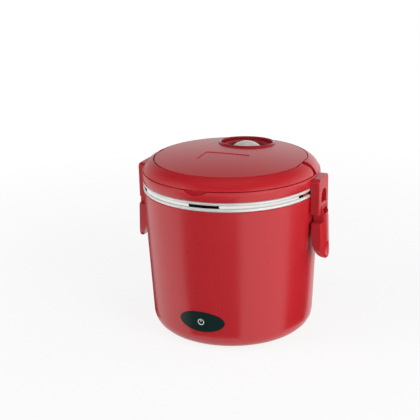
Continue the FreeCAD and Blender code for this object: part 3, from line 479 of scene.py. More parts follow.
def edges_eased(piece, width, steps, wanted):
    """Bevels the edges whose middles are wanted."""
    pick(piece)
    bpy.ops.object.mode_set(mode="EDIT")
    bpy.ops.mesh.select_mode(type="EDGE")
    bpy.ops.mesh.select_all(action="DESELECT")
    bpy.ops.object.mode_set(mode="OBJECT")
    points = piece.data.vertices
    for edge in piece.data.edges:
        edge.select = wanted((points[edge.vertices[0]].co + points[edge.vertices[1]].co) / 2)
    bpy.ops.object.mode_set(mode="EDIT")
    bpy.ops.mesh.bevel(offset=width, segments=steps, profile=0.5, clamp_overlap=True)
    bpy.ops.mesh.select_mode(type="VERT")
    return closed_up(piece)


def softened(piece, width, steps=2):
    """Rounds all sharp edges a little."""
    return applied(piece, "BEVEL", width=width, segments=steps, limit_method="ANGLE",
                   angle_limit=SMOOTH_ANGLE,
                   use_clamp_overlap=True)


def repeated(piece, places):
    """Copies a piece's whole mesh to further places; the first place is where it already is."""
    pick(piece)
    bpy.ops.object.mode_set(mode="EDIT")
    for here, there in zip(places, places[1:]):
        bpy.ops.mesh.select_linked()
        bpy.ops.mesh.duplicate_move(TRANSFORM_OT_translate={"value": Vector(there) - Vector(here)})
    bpy.ops.object.mode_set(mode="OBJECT")
    return piece


def mirrored(piece, name):
    """Copy of a piece on the other side, with its own mesh."""
    pick(piece)
    bpy.ops.object.duplicate()
    copy = bpy.context.object
    copy.name = name
    copy.data.name = name
    copy.scale.x = -1
    bpy.ops.object.transform_apply(location=True, rotation=True, scale=True)
    bpy.ops.object.mode_set(mode="EDIT")
    return closed_up(copy)


def kept(piece, body, material, slot, *nodes):
    """Smooths a finished piece, gives it its material and sets it on its CAD body in place of its nodes."""
    pick(piece)
    bpy.ops.object.shade_smooth_by_angle(angle=SMOOTH_ANGLE)
    applied(piece, "WEIGHTED_NORMAL", keep_sharp=True)
    piece.data.materials.clear()
    piece.data.materials.append(material)
    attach(piece, body)
    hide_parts(*nodes)
    return piece


class Nodes:
    """A node tree, with short ways to add the nodes that materials and the stage share."""

    def __init__(self, tree):
        self.tree = tree

    def add(self, kind, **settings):
        node = self.tree.nodes.new(kind)
        for key, value in settings.items():
            setattr(node, key, value)
        return node

    def link(self, source, target):
        self.tree.links.new(source, target)

    def math(self, operation, first, second=0.0):
        node = self.add("ShaderNodeMath", operation=operation)
        for socket, value in zip(node.inputs, (first, second)):
            if isinstance(value, (int, float)):
                socket.default_value = value
            else:
                self.link(value, socket)
        return node.outputs[0]

    def apart(self, vector):
        """The three parts of a vector."""
        node = self.add("ShaderNodeSeparateXYZ")
        self.link(vector, node.inputs[0])
        return node.outputs

    def span(self, vector):
        """Length of a vector."""
        node = self.add("ShaderNodeVectorMath", operation="LENGTH")
        self.link(vector, node.inputs[0])
        return node.outputs["Value"]

    def ranged(self, value, low, high, at_low, at_high):
        """Number that runs smoothly from one to another as a value goes from low to high."""
        node = self.add("ShaderNodeMapRange", interpolation_type="SMOOTHSTEP")
        for name, number in (("From Min", low), ("From Max", high), ("To Min", at_low), ("To Max", at_high)):
            node.inputs[name].default_value = number
        self.link(value, node.inputs["Value"])
        return node.outputs["Result"]


class Finish(Nodes):
    """A material's node tree, with the nodes that finishes share."""

    def __init__(self, name):
        self.material = bpy.data.materials.new(name)
        self.material.use_nodes = True
        super().__init__(self.material.node_tree)
        self.shader = self.tree.nodes["Principled BSDF"]
        self.place = self.add("ShaderNodeTexCoord").outputs["Object"]

    def noise(self, scale, detail, coordinates=None):
        node = self.add("ShaderNodeTexNoise")
        node.inputs["Scale"].default_value = scale
        node.inputs["Detail"].default_value = detail
        self.link(coordinates or self.place, node.inputs["Vector"])
        return node.outputs["Fac"]

    def between(self, factor, low, high):
        """Number that runs from low to high with a factor."""
        node = self.add("ShaderNodeMapRange")
        node.inputs["To Min"].default_value = low
        node.inputs["To Max"].default_value = high
        self.link(factor, node.inputs["Value"])
        return node.outputs["Result"]

    def blend(self, factor, first, second):
        """Colour that runs from the first to the second with a factor."""
        node = self.add("ShaderNodeMix", data_type="RGBA")
        node.inputs[6].default_value = first
        node.inputs[7].default_value = second
        self.link(factor, node.inputs["Factor"])
        return node.outputs[2]

    def bump(self, height, strength, depth):
        node = self.add("ShaderNodeBump")
        node.inputs["Strength"].default_value = strength
        node.inputs["Distance"].default_value = depth
        self.link(height, node.inputs["Height"])
        self.link(node.outputs["Normal"], self.shader.inputs["Normal"])

    def turned_lines(self, pitch):
        """Noise that runs round the Z axis in fine rings, as turning leaves on metal."""
        apart = self.apart(self.place)
        across = self.math("POWER", apart["X"], 2.0)
        along = self.math("POWER", apart["Y"], 2.0)
        radius = self.math("SQRT", self.math("ADD", across, along))
        joined = self.add("ShaderNodeCombineXYZ")
        self.link(radius, joined.inputs["X"])
        self.link(apart["Z"], joined.inputs["Z"])
        return self.noise(1 / pitch, 2.0, joined.outputs[0])


def tinted(rgba, share):
    return tuple(min(1.0, part * share) for part in rgba[:3]) + (1.0,)


def moulded(name, rgba, roughness, grain=0.6 * MM, relief=0.02, spread=0.04, drift=0.06, gloss=0.5):
    """Moulded plastic or rubber: slight colour drift, uneven gloss and a fine skin."""
    finish = Finish(name)
    finish.shader.inputs["Specular IOR Level"].default_value = gloss
    cloud = finish.noise(45.0, 3.0)
    finish.link(finish.blend(cloud, tinted(rgba, 1 - drift), tinted(rgba, 1 + drift)),
                finish.shader.inputs["Base Color"])
    worn = finish.noise(160.0, 4.0)
    finish.link(finish.between(worn, roughness - spread, roughness + spread),
                finish.shader.inputs["Roughness"])
    finish.bump(finish.noise(1 / grain, 2.0), relief, 0.1 * MM)
    return finish.material


def worked_metal(name, rgba, roughness, pitch=0.5 * MM, relief=0.03, spread=0.03):
    """Metal with the fine rings of turning or polishing."""
    finish = Finish(name)
    rings = finish.turned_lines(pitch)
    finish.shader.inputs["Metallic"].default_value = 1.0
    finish.link(finish.blend(rings, tinted(rgba, 0.95), tinted(rgba, 1.04)),
                finish.shader.inputs["Base Color"])
    finish.link(finish.between(rings, roughness - spread, roughness + spread),
                finish.shader.inputs["Roughness"])
    finish.bump(rings, relief, 0.05 * MM)
    return finish.material


def rolled_steel(name, rgba, beads):
    """Polished steel with fine rings, satin on its rolled beads between these heights."""
    finish = Finish(name)
    rings = finish.turned_lines(0.5 * MM)
    finish.link(finish.blend(rings, tinted(rgba, 0.96), tinted(rgba, 1.04)),
                finish.shader.inputs["Base Color"])
    height = finish.apart(finish.place)["Z"]
    satin = 0.0
    for low, high in beads:
        inside = finish.math("MULTIPLY", finish.math("GREATER_THAN", height, low),
                             finish.math("LESS_THAN", height, high))
        satin = finish.math("ADD", inside, satin)
    finish.link(finish.between(satin, 1.0, 0.4), finish.shader.inputs["Metallic"])
    finish.link(finish.between(finish.math("ADD", satin, finish.math("MULTIPLY", rings, 0.1)), 0.04, 0.3),
                finish.shader.inputs["Roughness"])
    finish.bump(rings, 0.002, 0.05 * MM)
    return finish.material


def striped_sleeve(name, rgba, stripe):
    """Two-colour lead insulation."""
    finish = Finish(name)
    wave = finish.add("ShaderNodeTexWave", wave_type="BANDS", bands_direction="DIAGONAL")
    wave.inputs["Scale"].default_value = 120.0
    finish.link(finish.place, wave.inputs["Vector"])
    finish.link(finish.blend(finish.math("GREATER_THAN", wave.outputs["Fac"], 0.6), rgba, stripe),
                finish.shader.inputs["Base Color"])
    finish.link(finish.between(finish.noise(900.0, 2.0), 0.38, 0.5), finish.shader.inputs["Roughness"])
    return finish.material


def tinted_lens(name, rgba, printed, centre_z, symbol_radius):
    """Dark glossy lens with a plain printed power symbol: an open ring and a bar."""
    finish = Finish(name)
    grown = 1 / symbol_radius
    placed = finish.add("ShaderNodeMapping")
    placed.inputs["Location"].default_value = (0, 0, -centre_z * grown)
    placed.inputs["Scale"].default_value = (grown, 0, grown)
    finish.link(finish.place, placed.inputs["Vector"])
    apart = finish.apart(placed.outputs[0])
    aside = finish.math("ABSOLUTE", apart["X"])
    high = apart["Z"]
    off_ring = finish.math("ABSOLUTE", finish.math("SUBTRACT", finish.span(placed.outputs[0]), 1.0))
    ring = finish.math("LESS_THAN", off_ring, 0.13)
    opening = finish.math("MULTIPLY", finish.math("LESS_THAN", aside, 0.42),
                          finish.math("GREATER_THAN", high, 0.0))
    ring = finish.math("MULTIPLY", ring, finish.math("SUBTRACT", 1.0, opening))
    bar = finish.math("MULTIPLY", finish.math("LESS_THAN", aside, 0.13),
                      finish.math("GREATER_THAN", high, 0.05))
    bar = finish.math("MULTIPLY", bar, finish.math("LESS_THAN", high, 1.2))
    mark = finish.math("MAXIMUM", ring, bar)
    finish.link(finish.blend(mark, rgba, printed), finish.shader.inputs["Base Color"])
    finish.link(finish.between(finish.noise(300.0, 3.0), 0.28, 0.34), finish.shader.inputs["Roughness"])
    finish.shader.inputs["Specular IOR Level"].default_value = 0.25
    finish.bump(finish.noise(500.0, 2.0), 0.01, 0.05 * MM)
    return finish.material


def shared(make, name, *settings, **more):
    """Material by name, made the first time that it is asked for."""
    return bpy.data.materials.get(name) or make(name, *settings, **more)


def red_shell(scene):
    return shared(moulded, "red_shell", scene.lunchbox_colours.red, 0.28, relief=0.006, spread=0.015,
                  drift=0.02,
                  gloss=0.7)


def polished_steel(scene):
    steel = scene.lunchbox_steel
    beads = ((scene.lunchbox_casing.rim_z, steel.collar_z), (steel.seat_z, steel.bowl_top_z))
    return shared(rolled_steel, "polished_steel", scene.lunchbox_colours.steel, beads)


def zinc_steel(scene):
    return shared(worked_metal, "zinc_steel", scene.lunchbox_colours.zinc, 0.3)


def black_plastic(scene):
    return shared(moulded, "black_plastic", scene.lunchbox_colours.black, 0.42, relief=0.05)


def milky_silicone(scene):
    return shared(moulded, "milky_silicone", scene.lunchbox_colours.silicone, 0.5)


def casing_core(casing, offset):
    """Filled shape of the casing, grown by an offset, as a tool."""
    base_radius = casing.rim_radius - casing.taper
    return turned("casing_core", eased((0, casing.base_z - offset),
                                       (base_radius + offset, casing.base_z - offset, casing.corner + offset),
                                       (casing.rim_radius + offset, casing.rim_z), (0, casing.rim_z),
                                       closed=False))


def round_places(count, radius, first, height):
    turns = [math.radians(first + 360 * step / count) for step in range(count)]
    return [(radius * math.cos(turn), radius * math.sin(turn), height) for turn in turns]


class LUNCHBOX_OT_casing(Operator):
    """Red outer casing with its lens seat, inlet window and catch lugs"""
    bl_idname = "lunchbox.casing"
    bl_label = "Casing"

    def execute(self, context):
        casing = context.scene.lunchbox_casing
        electrics = context.scene.lunchbox_electrics
        base_radius = casing.rim_radius - casing.taper
        fillet = 0.4 * MM
        inside = casing.rim_radius - casing.wall
        inner_foot = base_radius + casing.taper * (casing.floor_top_z / casing.rim_z) - casing.wall
        rings = 14
        climb = [(base_radius + casing.taper * step / rings,
                  casing.base_z + (casing.rim_z - casing.base_z) * step / rings) for step in range(2, rings)]
        shell = turned("casing", eased(
            (casing.cover_radius + 0.2 * MM, casing.base_z, fillet),
            (base_radius, casing.base_z, casing.corner),
            *climb, (casing.rim_radius, casing.rim_z, fillet), (inside, casing.rim_z, fillet),
            (inner_foot, casing.floor_top_z, casing.corner / 2),
            (casing.opening_radius, casing.floor_top_z, fillet),
            (casing.opening_radius, casing.floor_z, fillet),
            (casing.cover_radius + 0.2 * MM, casing.floor_z, fillet)))
        reach = casing.rim_radius + 2 * OVERCUT
        half = casing.rim_radius / 2
        gap = 2 * electrics.seat_gap
        seat = prism("seat", oval(electrics.lens_width + gap, electrics.lens_tall + gap, 0, electrics.lens_z),
                     "Y", -reach, -half)
        carved(shell, carved(seat, casing_core(casing, -electrics.lens_seat)))
        carved(shell, prism("window", tray(electrics.inlet_width + gap, electrics.inlet_tall + gap, 0,
                                           electrics.inlet_z, electrics.inlet_corner), "Y", half, reach))
        for side in (1, -1):
            ends = sorted((side * (inside + fillet), side * (casing.rim_radius + casing.lug_reach)))
            lug = prism("lug", tray(casing.lug_width, casing.lug_height, 0,
                                    casing.lug_low_z + casing.lug_height / 2,
                                    fillet), "X", *ends)
            carved(shell, lug, "UNION")
        kept(shell, "base", red_shell(context.scene), "red_gloss", "outer_casing")
        return {"FINISHED"}


class LUNCHBOX_OT_underside(Operator):
    """Base cover, its sunk screws and the rubber feet"""
    bl_idname = "lunchbox.underside"
    bl_label = "Cover, screws and feet"

    def execute(self, context):
        scene = context.scene
        casing = scene.lunchbox_casing
        fillet = 0.4 * MM
        plug = casing.opening_radius - 0.2 * MM
        groove = casing.cover_radius * 0.62
        cover = turned("cover", eased(
            (0, casing.base_z + 0.6 * MM), (groove - 1.2 * MM, casing.base_z + 0.6 * MM, fillet),
            (groove, casing.base_z, fillet), (casing.cover_radius, casing.base_z, fillet),
            (casing.cover_radius, casing.floor_z, fillet), (plug, casing.floor_z),
            (plug, casing.plug_top_z, fillet), (plug - 2 * MM, casing.plug_top_z, fillet),
            (plug - 2 * MM, casing.floor_z), (0, casing.floor_z), closed=False))
        places = round_places(4, casing.screw_circle, 45, 0)
        for x, y, _ in places:
            sink = prism("sink", oval(2 * casing.screw_head + 0.4 * MM, 2 * casing.screw_head + 0.4 * MM, x,
                                      y, 32),
                         "Z", 0, casing.screw_seat_z)
            carved(cover, sink)
        kept(cover, "base", black_plastic(scene), "black_plastic", "base_cover")
        screws = cross_screw("cover_screws", casing, casing.screw_seat_z, casing.cover_screw_length, places)
        kept(screws, "base", zinc_steel(scene), "plain_steel", "base_cover_screws")
        foot = turned("feet", eased(
            (0, 0.3 * MM), (casing.foot_radius * 0.5, 0.3 * MM, 0.2 * MM),
            (casing.foot_radius * 0.6, 0, 0.2 * MM),
            (casing.foot_radius, 0, fillet), (casing.foot_radius, casing.base_z, 0.2 * MM),
            (casing.foot_stem, casing.base_z), (casing.foot_stem, 2 * casing.base_z, fillet),
            (0, 2 * casing.base_z),
            closed=False), steps=48)
        spots = round_places(4, casing.screw_circle, 0, 0)
        moved(foot, spots[0])
        repeated(foot, spots)
        rubber = shared(moulded, "foot_rubber", scene.lunchbox_colours.rubber, 0.75, relief=0.2)
        kept(foot, "base", rubber, "rubber", "rubber_feet")
        return {"FINISHED"}


def moved(piece, place):
    """Shifts a piece's mesh by a vector."""
    pick(piece)
    piece.location = place
    bpy.ops.object.transform_apply(location=True, rotation=True, scale=True)
    return piece


def cross_screw(name, casing, seat_z, shank_length, places):
    """Pan-head screws that point up, with cross recesses."""
    head = casing.screw_head
    low = seat_z - casing.screw_head_height
    screw = turned(name, eased(
        (0, low), (head, low, 0.6 * MM), (head, seat_z, 0.1 * MM), (casing.screw_shank, seat_z),
        (casing.screw_shank, seat_z + shank_length - 1 * MM), (0.4 * MM, seat_z + shank_length),
        (0, seat_z + shank_length), closed=False), steps=40)
    slot = 0.7 * MM
    reach = head * 0.62
    cross = [(-slot / 2, -reach), (slot / 2, -reach), (slot / 2, -slot / 2), (reach, -slot / 2),
             (reach, slot / 2),
             (slot / 2, slot / 2), (slot / 2, reach), (-slot / 2, reach), (-slot / 2, slot / 2),
             (-reach, slot / 2),
             (-reach, -slot / 2), (-slot / 2, -slot / 2)]
    carved(screw, prism("cross", cross, "Z", low - 1 * MM, low + 0.9 * MM))
    moved(screw, places[0])
    return repeated(screw, places)


class LUNCHBOX_OT_steel(Operator):
    """Heating pot with its rolled rim, and the lift-out food bowl"""
    bl_idname = "lunchbox.steel"
    bl_label = "Pot and bowl"

    def execute(self, context):
        scene = context.scene
        steel = scene.lunchbox_steel
        rim_z = scene.lunchbox_casing.rim_z
        inner = steel.pot_radius - steel.pot_wall
        bead_in = steel.bead_radius - steel.bead_width
        collar = steel.bead_radius - steel.collar_inset
        fold = 0.2 * MM
        pot = turned("pot", eased(
            (0, steel.pot_z), (steel.pot_radius, steel.pot_z, steel.pot_corner),
            (steel.pot_radius, steel.seat_z - steel.pot_wall, fold),
            (bead_in, steel.seat_z - steel.pot_wall, fold),
            (bead_in, rim_z, fold), (steel.bead_radius, rim_z, steel.bead_round),
            (steel.bead_radius, steel.collar_z, steel.bead_round), (collar, steel.collar_z, 0.1 * MM),
            (collar, steel.seat_z, fold), (inner, steel.seat_z, 2 * fold),
            (inner, steel.pot_z + steel.pot_wall, steel.pot_corner - steel.pot_wall),
            (0, steel.pot_z + steel.pot_wall), closed=False))
        kept(pot, "base", polished_steel(scene), "steel", "heating_pot")
        lip = steel.bowl_rim - steel.bowl_bead_width
        inside = steel.bowl_radius - steel.bowl_wall
        under = steel.bowl_top_z - steel.bowl_wall
        bowl = turned("bowl", eased(
            (0, steel.bowl_z), (steel.bowl_radius, steel.bowl_z, steel.bowl_corner),
            (steel.bowl_radius, under, fold), (lip, under, fold), (lip, steel.seat_z, fold),
            (steel.bowl_rim, steel.seat_z, steel.bowl_bead_round),
            (steel.bowl_rim, steel.bowl_top_z, steel.bowl_bead_round), (inside, steel.bowl_top_z, 0.3 * MM),
            (inside, steel.bowl_z + steel.bowl_wall, steel.bowl_corner - steel.bowl_wall),
            (0, steel.bowl_z + steel.bowl_wall), closed=False))
        kept(bowl, "bowl", polished_steel(scene), "steel", "food_bowl")
        return {"FINISHED"}


def flat_disc(name, radius, half_width, low, high):
    """Disc with a flat on each side, as a tool."""
    outline = oval(2 * radius, 2 * radius, 0, 0, TURN_STEPS)
    return prism(name, [(max(-half_width, min(half_width, x)), y) for x, y in outline], "Z", low, high)


def shoulder_line(lid):
    """Points of the rounded shoulder from the top down to its foot."""
    foot = (lid.band_radius - lid.shoulder_inset, lid.ledge_z)
    return bow((lid.top_radius, lid.top_z), foot, lid.shoulder_radius, steps=16)


def band_line(lid):
    """Points of the band's bulging face from its top edge down."""
    half = (lid.ledge_z - lid.skirt_z) / 2
    radius = (half ** 2 + lid.band_bulge ** 2) / (2 * lid.band_bulge)
    return bow((lid.band_radius, lid.ledge_z), (lid.band_radius, lid.skirt_z), radius, steps=8)


class LUNCHBOX_OT_lid_body(Operator):
    """Lid band, ledge, inner wall and rear shoulder, with the finger notch"""
    bl_idname = "lunchbox.lid_body"
    bl_label = "Lid body"

    def execute(self, context):
        lid = context.scene.lunchbox_lid
        fillet = 0.3 * MM
        sunk = 0.5 * MM
        seat_z = lid.top_z - lid.top_thickness
        above = lid.top_z + OVERCUT
        inside = lid.band_radius - lid.band_wall
        hollow = lid.top_radius - lid.ring_wall
        under = lid.ledge_z - lid.ledge_thickness
        body = turned("lid_body", eased(
            (hollow + sunk, lid.ledge_z), (lid.band_radius, lid.ledge_z, 0.15 * MM), *band_line(lid)[1:-1],
            (lid.band_radius, lid.skirt_z, fillet), (inside, lid.skirt_z, fillet), (inside, under, fillet),
            (hollow + sunk, under)))
        wall = flat_disc("wall", lid.top_radius, lid.pivot_flat, lid.liner_z + lid.liner_thickness, seat_z)
        carved(wall, flat_disc("hollow", hollow, lid.pivot_flat - lid.ring_wall, lid.skirt_z, above))
        carved(body, wall, "UNION")
        line = shoulder_line(lid)
        rear = turned("rear", [(hollow + sunk, lid.top_z), *line, (line[-1][0], lid.ledge_z - sunk),
                               (hollow + sunk, lid.ledge_z - sunk)])
        carved(rear, flat_disc("seat", lid.top_radius + 0.05 * MM, lid.pivot_flat, seat_z - 0.02 * MM, above))
        trimmed(rear, (0, lid.channel_mouth, 0), (0, -1, 0))
        softened(rear, fillet)
        carved(body, rear, "UNION")
        reach = lid.band_radius + 3 * OVERCUT
        radius = (lid.notch_width ** 2 / 4 + lid.notch_depth ** 2) / (2 * lid.notch_depth)
        face = lid.band_radius + lid.band_bulge
        notch = prism("notch", oval(2 * radius, 2 * radius, 0, lid.ledge_z - lid.notch_depth + radius), "Y",
                      -reach, lid.notch_reach - face)
        carved(body, notch)
        kept(body, "lid", red_shell(context.scene), "red_gloss", "lid_ring")
        return {"FINISHED"}


class LUNCHBOX_OT_dome(Operator):
    """Domed lid top with its vent opening and sunk bare panel"""
    bl_idname = "lunchbox.dome"
    bl_label = "Domed top"

    def execute(self, context):
        lid = context.scene.lunchbox_lid
        vent = context.scene.lunchbox_vent
        edge = lid.top_radius - lid.top_gap
        seat_z = lid.top_z - lid.top_thickness
        ball = (lid.top_radius ** 2 + lid.dome_rise ** 2) / (2 * lid.dome_rise)
        dome = turned("lid_dome", eased(
            *dome_line(lid, ball, edge, 0, DOME_STEPS), (edge, dome_z(lid, ball, edge), 0.5 * MM),
            (edge, seat_z, 0.2 * MM),
            (edge - 2 * MM, seat_z), *reversed(dome_line(lid, ball, edge - 2 * MM, lid.top_thickness,
                                                         DOME_STEPS)),
            closed=False))
        for side in (1, -1):
            trimmed(dome, (side * (lid.pivot_flat - lid.top_gap), 0, 0), (side, 0, 0))
        hole = prism("hole", oval(2 * vent.radius + 0.4 * MM, 2 * vent.radius + 0.4 * MM, 0, 0, 120), "Z",
                     -4 * OVERCUT, 2 * OVERCUT)
        carved(dome, set_in_vent(hole, vent))
        panel = prism("panel", tray(lid.panel_width, lid.panel_length, 0, -lid.panel_front, 1 * MM), "Z",
                      lid.top_z - OVERCUT, lid.top_z + 2 * OVERCUT)
        floor = turned("floor", [*dome_line(lid, ball, edge, lid.panel_depth, DOME_STEPS),
                                 (edge, seat_z - OVERCUT),
                                 (0, seat_z - OVERCUT)])
        carved(dome, carved(panel, floor))
        kept(dome, "lid", red_shell(context.scene), "red_gloss", "lid_top")
        return {"FINISHED"}


def dome_z(lid, ball, radius):
    return lid.top_z + lid.dome_rise - ball + math.sqrt(ball ** 2 - radius ** 2)


def dome_line(lid, ball, edge, under, steps):
    """Points of the dome from its middle towards its edge, a little below its surface."""
    radii = [edge * step / steps for step in range(steps)]
    return [(radius, dome_z(lid, ball, radius) - under) for radius in radii]


def set_in_vent(piece, vent):
    """Leans a piece drawn about the Z axis and sets it in the vent's place."""
    pick(piece)
    piece.rotation_euler = (-vent.lean, 0, 0)
    piece.location = (0, vent.setback, vent.lip_z)
    bpy.ops.object.transform_apply(location=True, rotation=True, scale=True)
    return piece


class LUNCHBOX_OT_vent(Operator):
    """Steam vent cup and its valve knob"""
    bl_idname = "lunchbox.vent"
    bl_label = "Vent and knob"

    def execute(self, context):
        scene = context.scene
        vent = scene.lunchbox_vent
        floor = -vent.depth
        lip_in = vent.radius - vent.lip
        low = floor - vent.wall
        fillet = 0.3 * MM
        cup = turned("vent_cup_shell", eased(
            (vent.tube_bore, floor + vent.seat_height, fillet),
            (vent.seat_radius, floor + vent.seat_height, fillet),
            (vent.seat_radius, floor, fillet),
            *reversed(bow((lip_in, 0), (vent.floor_radius, floor), vent.inner_round)),
            *bow((lip_in, 0), (vent.radius, 0), vent.lip_round)[1:],
            *bow((vent.radius, -vent.collar), (vent.floor_radius, low), vent.outer_round),
            (vent.tube_radius, low, fillet), (vent.tube_radius, -vent.tube_drop, fillet),
            (vent.tube_bore, -vent.tube_drop, fillet)), steps=144)
        set_in_vent(cup, vent)
        dark = shared(moulded, "vent_gloss", scene.lunchbox_colours.vent_red, 0.12, relief=0.008)
        kept(cup, "lid", dark, "dark_red", "vent_cup")
        base = floor + vent.knob_gap
        fall = vent.knob_dome - math.sqrt(vent.knob_dome ** 2 - vent.knob_radius ** 2)
        edge = (vent.knob_radius, vent.knob_rise - fall)
        crown = bow((0, vent.knob_rise), edge, vent.knob_dome, steps=16)
        waist = vent.stem_radius - vent.groove_depth
        knob = turned("knob", eased(
            *crown[:-1], (*edge, vent.knob_edge), (vent.knob_radius, base, 0.4 * MM),
            (vent.knob_hollow, base, fillet), (vent.knob_hollow, vent.hollow_top),
            (vent.stem_radius, vent.hollow_top), (vent.stem_radius, vent.groove_top),
            (waist, vent.groove_top),
            (waist, vent.groove_top - vent.groove_height),
            (vent.stem_radius, vent.groove_top - vent.groove_height),
            (vent.stem_radius, vent.stem_low, fillet), (0, vent.stem_low), closed=False), steps=96)
        set_in_vent(knob, vent)
        silver = shared(silvered, "knob_silver", scene.lunchbox_colours.knob)
        kept(knob, "valve", silver, "silver_plastic", "valve_knob")
        return {"FINISHED"}


def silvered(name, rgba):
    """Pale silver plastic with a fine metal flake."""
    finish = Finish(name)
    flakes = finish.add("ShaderNodeTexVoronoi")
    flakes.inputs["Scale"].default_value = FLAKE_SCALE
    finish.link(finish.place, flakes.inputs["Vector"])
    finish.link(finish.blend(flakes.outputs["Distance"], tinted(rgba, 1.08), tinted(rgba, 0.9)),
                finish.shader.inputs["Base Color"])
    finish.link(finish.between(finish.noise(220.0, 3.0), 0.22, 0.3), finish.shader.inputs["Roughness"])
    finish.shader.inputs["Metallic"].default_value = 0.2
    return finish.material


class LUNCHBOX_OT_handle(Operator):
    """Fold-down carry handle, hollow underneath, with solid rounded ends"""
    bl_idname = "lunchbox.handle"
    bl_label = "Carry handle"

    def execute(self, context):
        lid = context.scene.lunchbox_lid
        low = lid.ledge_z + lid.handle_lift
        line = [point for point in shoulder_line(lid) if point[1] > low + 0.3 * MM]
        inner = lid.pivot_flat - lid.ring_wall
        hoop = turned("handle", eased((inner, low), (inner, lid.top_z), *line,
                                      (line[-1][0] + 0.25 * MM, low, 0.25 * MM)))
        wall = flat_disc("wall", lid.top_radius + lid.handle_gap, lid.pivot_flat + lid.handle_gap,
                         lid.ledge_z - OVERCUT, lid.top_z + OVERCUT)
        carved(hoop, wall)
        pivot = ((low + lid.top_z) / 2, (lid.top_z - low) / 2)
        reach = lid.band_radius + 2 * OVERCUT
        end = half_round(-lid.pivot_setback, *pivot, 24, first=-0.5)
        front = prism("front", [(-reach, lid.skirt_z), (-lid.pivot_setback, lid.skirt_z), *end,
                                (-lid.pivot_setback, lid.top_z + OVERCUT), (-reach, lid.top_z + OVERCUT)],
                      "X", -reach, reach)
        carved(hoop, front, "INTERSECT")
        core_in = lid.top_radius + lid.handle_gap + lid.handle_wall
        core_out = lid.band_radius - lid.shoulder_inset - lid.handle_wall
        core_line = [(radius, height - lid.handle_wall) for radius, height in shoulder_line(lid)
                     if core_in < radius < core_out]
        core = turned("core", [(core_in, lid.ledge_z - 2 * MM), (core_in, core_line[0][1]), *core_line,
                               (core_out, core_line[-1][1]), (core_out, lid.ledge_z - 2 * MM)])
        trimmed(core, (0, -lid.pivot_setback - lid.handle_solid, 0), (0, 1, 0))
        carved(hoop, core)
        bores = prism("bores", oval(2 * lid.pin_radius + 0.1 * MM, 2 * lid.pin_radius + 0.1 * MM,
                                    -lid.pivot_setback, pivot[0], 24), "X", -73.2 * MM, 73.2 * MM)
        carved(hoop, bores)
        softened(hoop, 0.35 * MM)
        kept(hoop, "handle", red_shell(context.scene), "red_gloss", "carry_handle")
        return {"FINISHED"}


class LUNCHBOX_OT_lid_inside(Operator):
    """Liner, seal and liner screws under the lid"""
    bl_idname = "lunchbox.lid_inside"
    bl_label = "Liner, seal and screws"

    def execute(self, context):
        scene = context.scene
        lid = scene.lunchbox_lid
        vent = scene.lunchbox_vent
        fillet = 0.3 * MM
        top = lid.liner_z + lid.liner_thickness
        skirt_in = lid.skirt_radius - lid.skirt_wall
        skirt_low = lid.liner_z - lid.skirt_drop
        ring = lid.skirt_radius * 0.55
        liner = turned("liner", eased(
            (0, lid.liner_z), (ring, lid.liner_z), (ring + 1 * MM, lid.liner_z + 0.4 * MM, fillet),
            (ring + 3 * MM, lid.liner_z + 0.4 * MM, fillet), (ring + 4 * MM, lid.liner_z),
            (skirt_in, lid.liner_z, fillet),
            (skirt_in, skirt_low, fillet), (lid.skirt_radius, skirt_low, fillet),
            (lid.skirt_radius, lid.liner_z),
            (lid.liner_radius, lid.liner_z, fillet), (lid.liner_radius, top, fillet), (0, top), closed=False))
        tube = 2 * vent.tube_radius + 0.8 * MM
        carved(liner, set_in_vent(prism("tube", oval(tube, tube, 0, 0, 48), "Z", -6 * OVERCUT, 0), vent))
        white = shared(moulded, "liner_white", scene.lunchbox_colours.white, 0.36)
        kept(liner, "lid", white, "white_plastic", "lid_liner")
        low = lid.liner_z - lid.seal_thickness
        inner = lid.skirt_radius + 0.2 * MM
        middle = (inner + lid.seal_radius) / 2
        seal = turned("seal", eased(
            (inner, low, fillet), (middle - 1.2 * MM, low, fillet),
            (middle - 0.6 * MM, low + 0.6 * MM, 0.2 * MM),
            (middle + 0.6 * MM, low + 0.6 * MM, 0.2 * MM), (middle + 1.2 * MM, low, fillet),
            (lid.seal_radius, low, fillet), (lid.seal_radius, lid.liner_z, fillet),
            (inner, lid.liner_z, fillet)))
        kept(seal, "lid", milky_silicone(scene), "silicone", "lid_seal")
        places = round_places(4, lid.screw_circle, 45, 0)
        screws = cross_screw("liner_screws", scene.lunchbox_casing, lid.liner_z, lid.screw_length, places)
        kept(screws, "lid", zinc_steel(scene), "plain_steel", "lid_screws")
        return {"FINISHED"}


class LUNCHBOX_OT_latches(Operator):
    """Two latch brackets with arches, and two levers with crowned grips"""
    bl_idname = "lunchbox.latches"
    bl_label = "Latches"

    def execute(self, context):
        red = red_shell(context.scene)
        bracket = latch_bracket("bracket_right", context.scene.lunchbox_latch, context.scene.lunchbox_lid)
        lever = latch_lever("lever_right", context.scene.lunchbox_latch)
        kept(mirrored(bracket, "bracket_left"), "lid", red, "red_gloss", "latch_bracket_left")
        kept(mirrored(lever, "lever_left"), "latch_left", red, "red_gloss", "latch_lever_left")
        kept(bracket, "lid", red, "red_gloss", "latch_bracket_right")
        kept(lever, "latch_right", red, "red_gloss", "latch_lever_right")
        return {"FINISHED"}


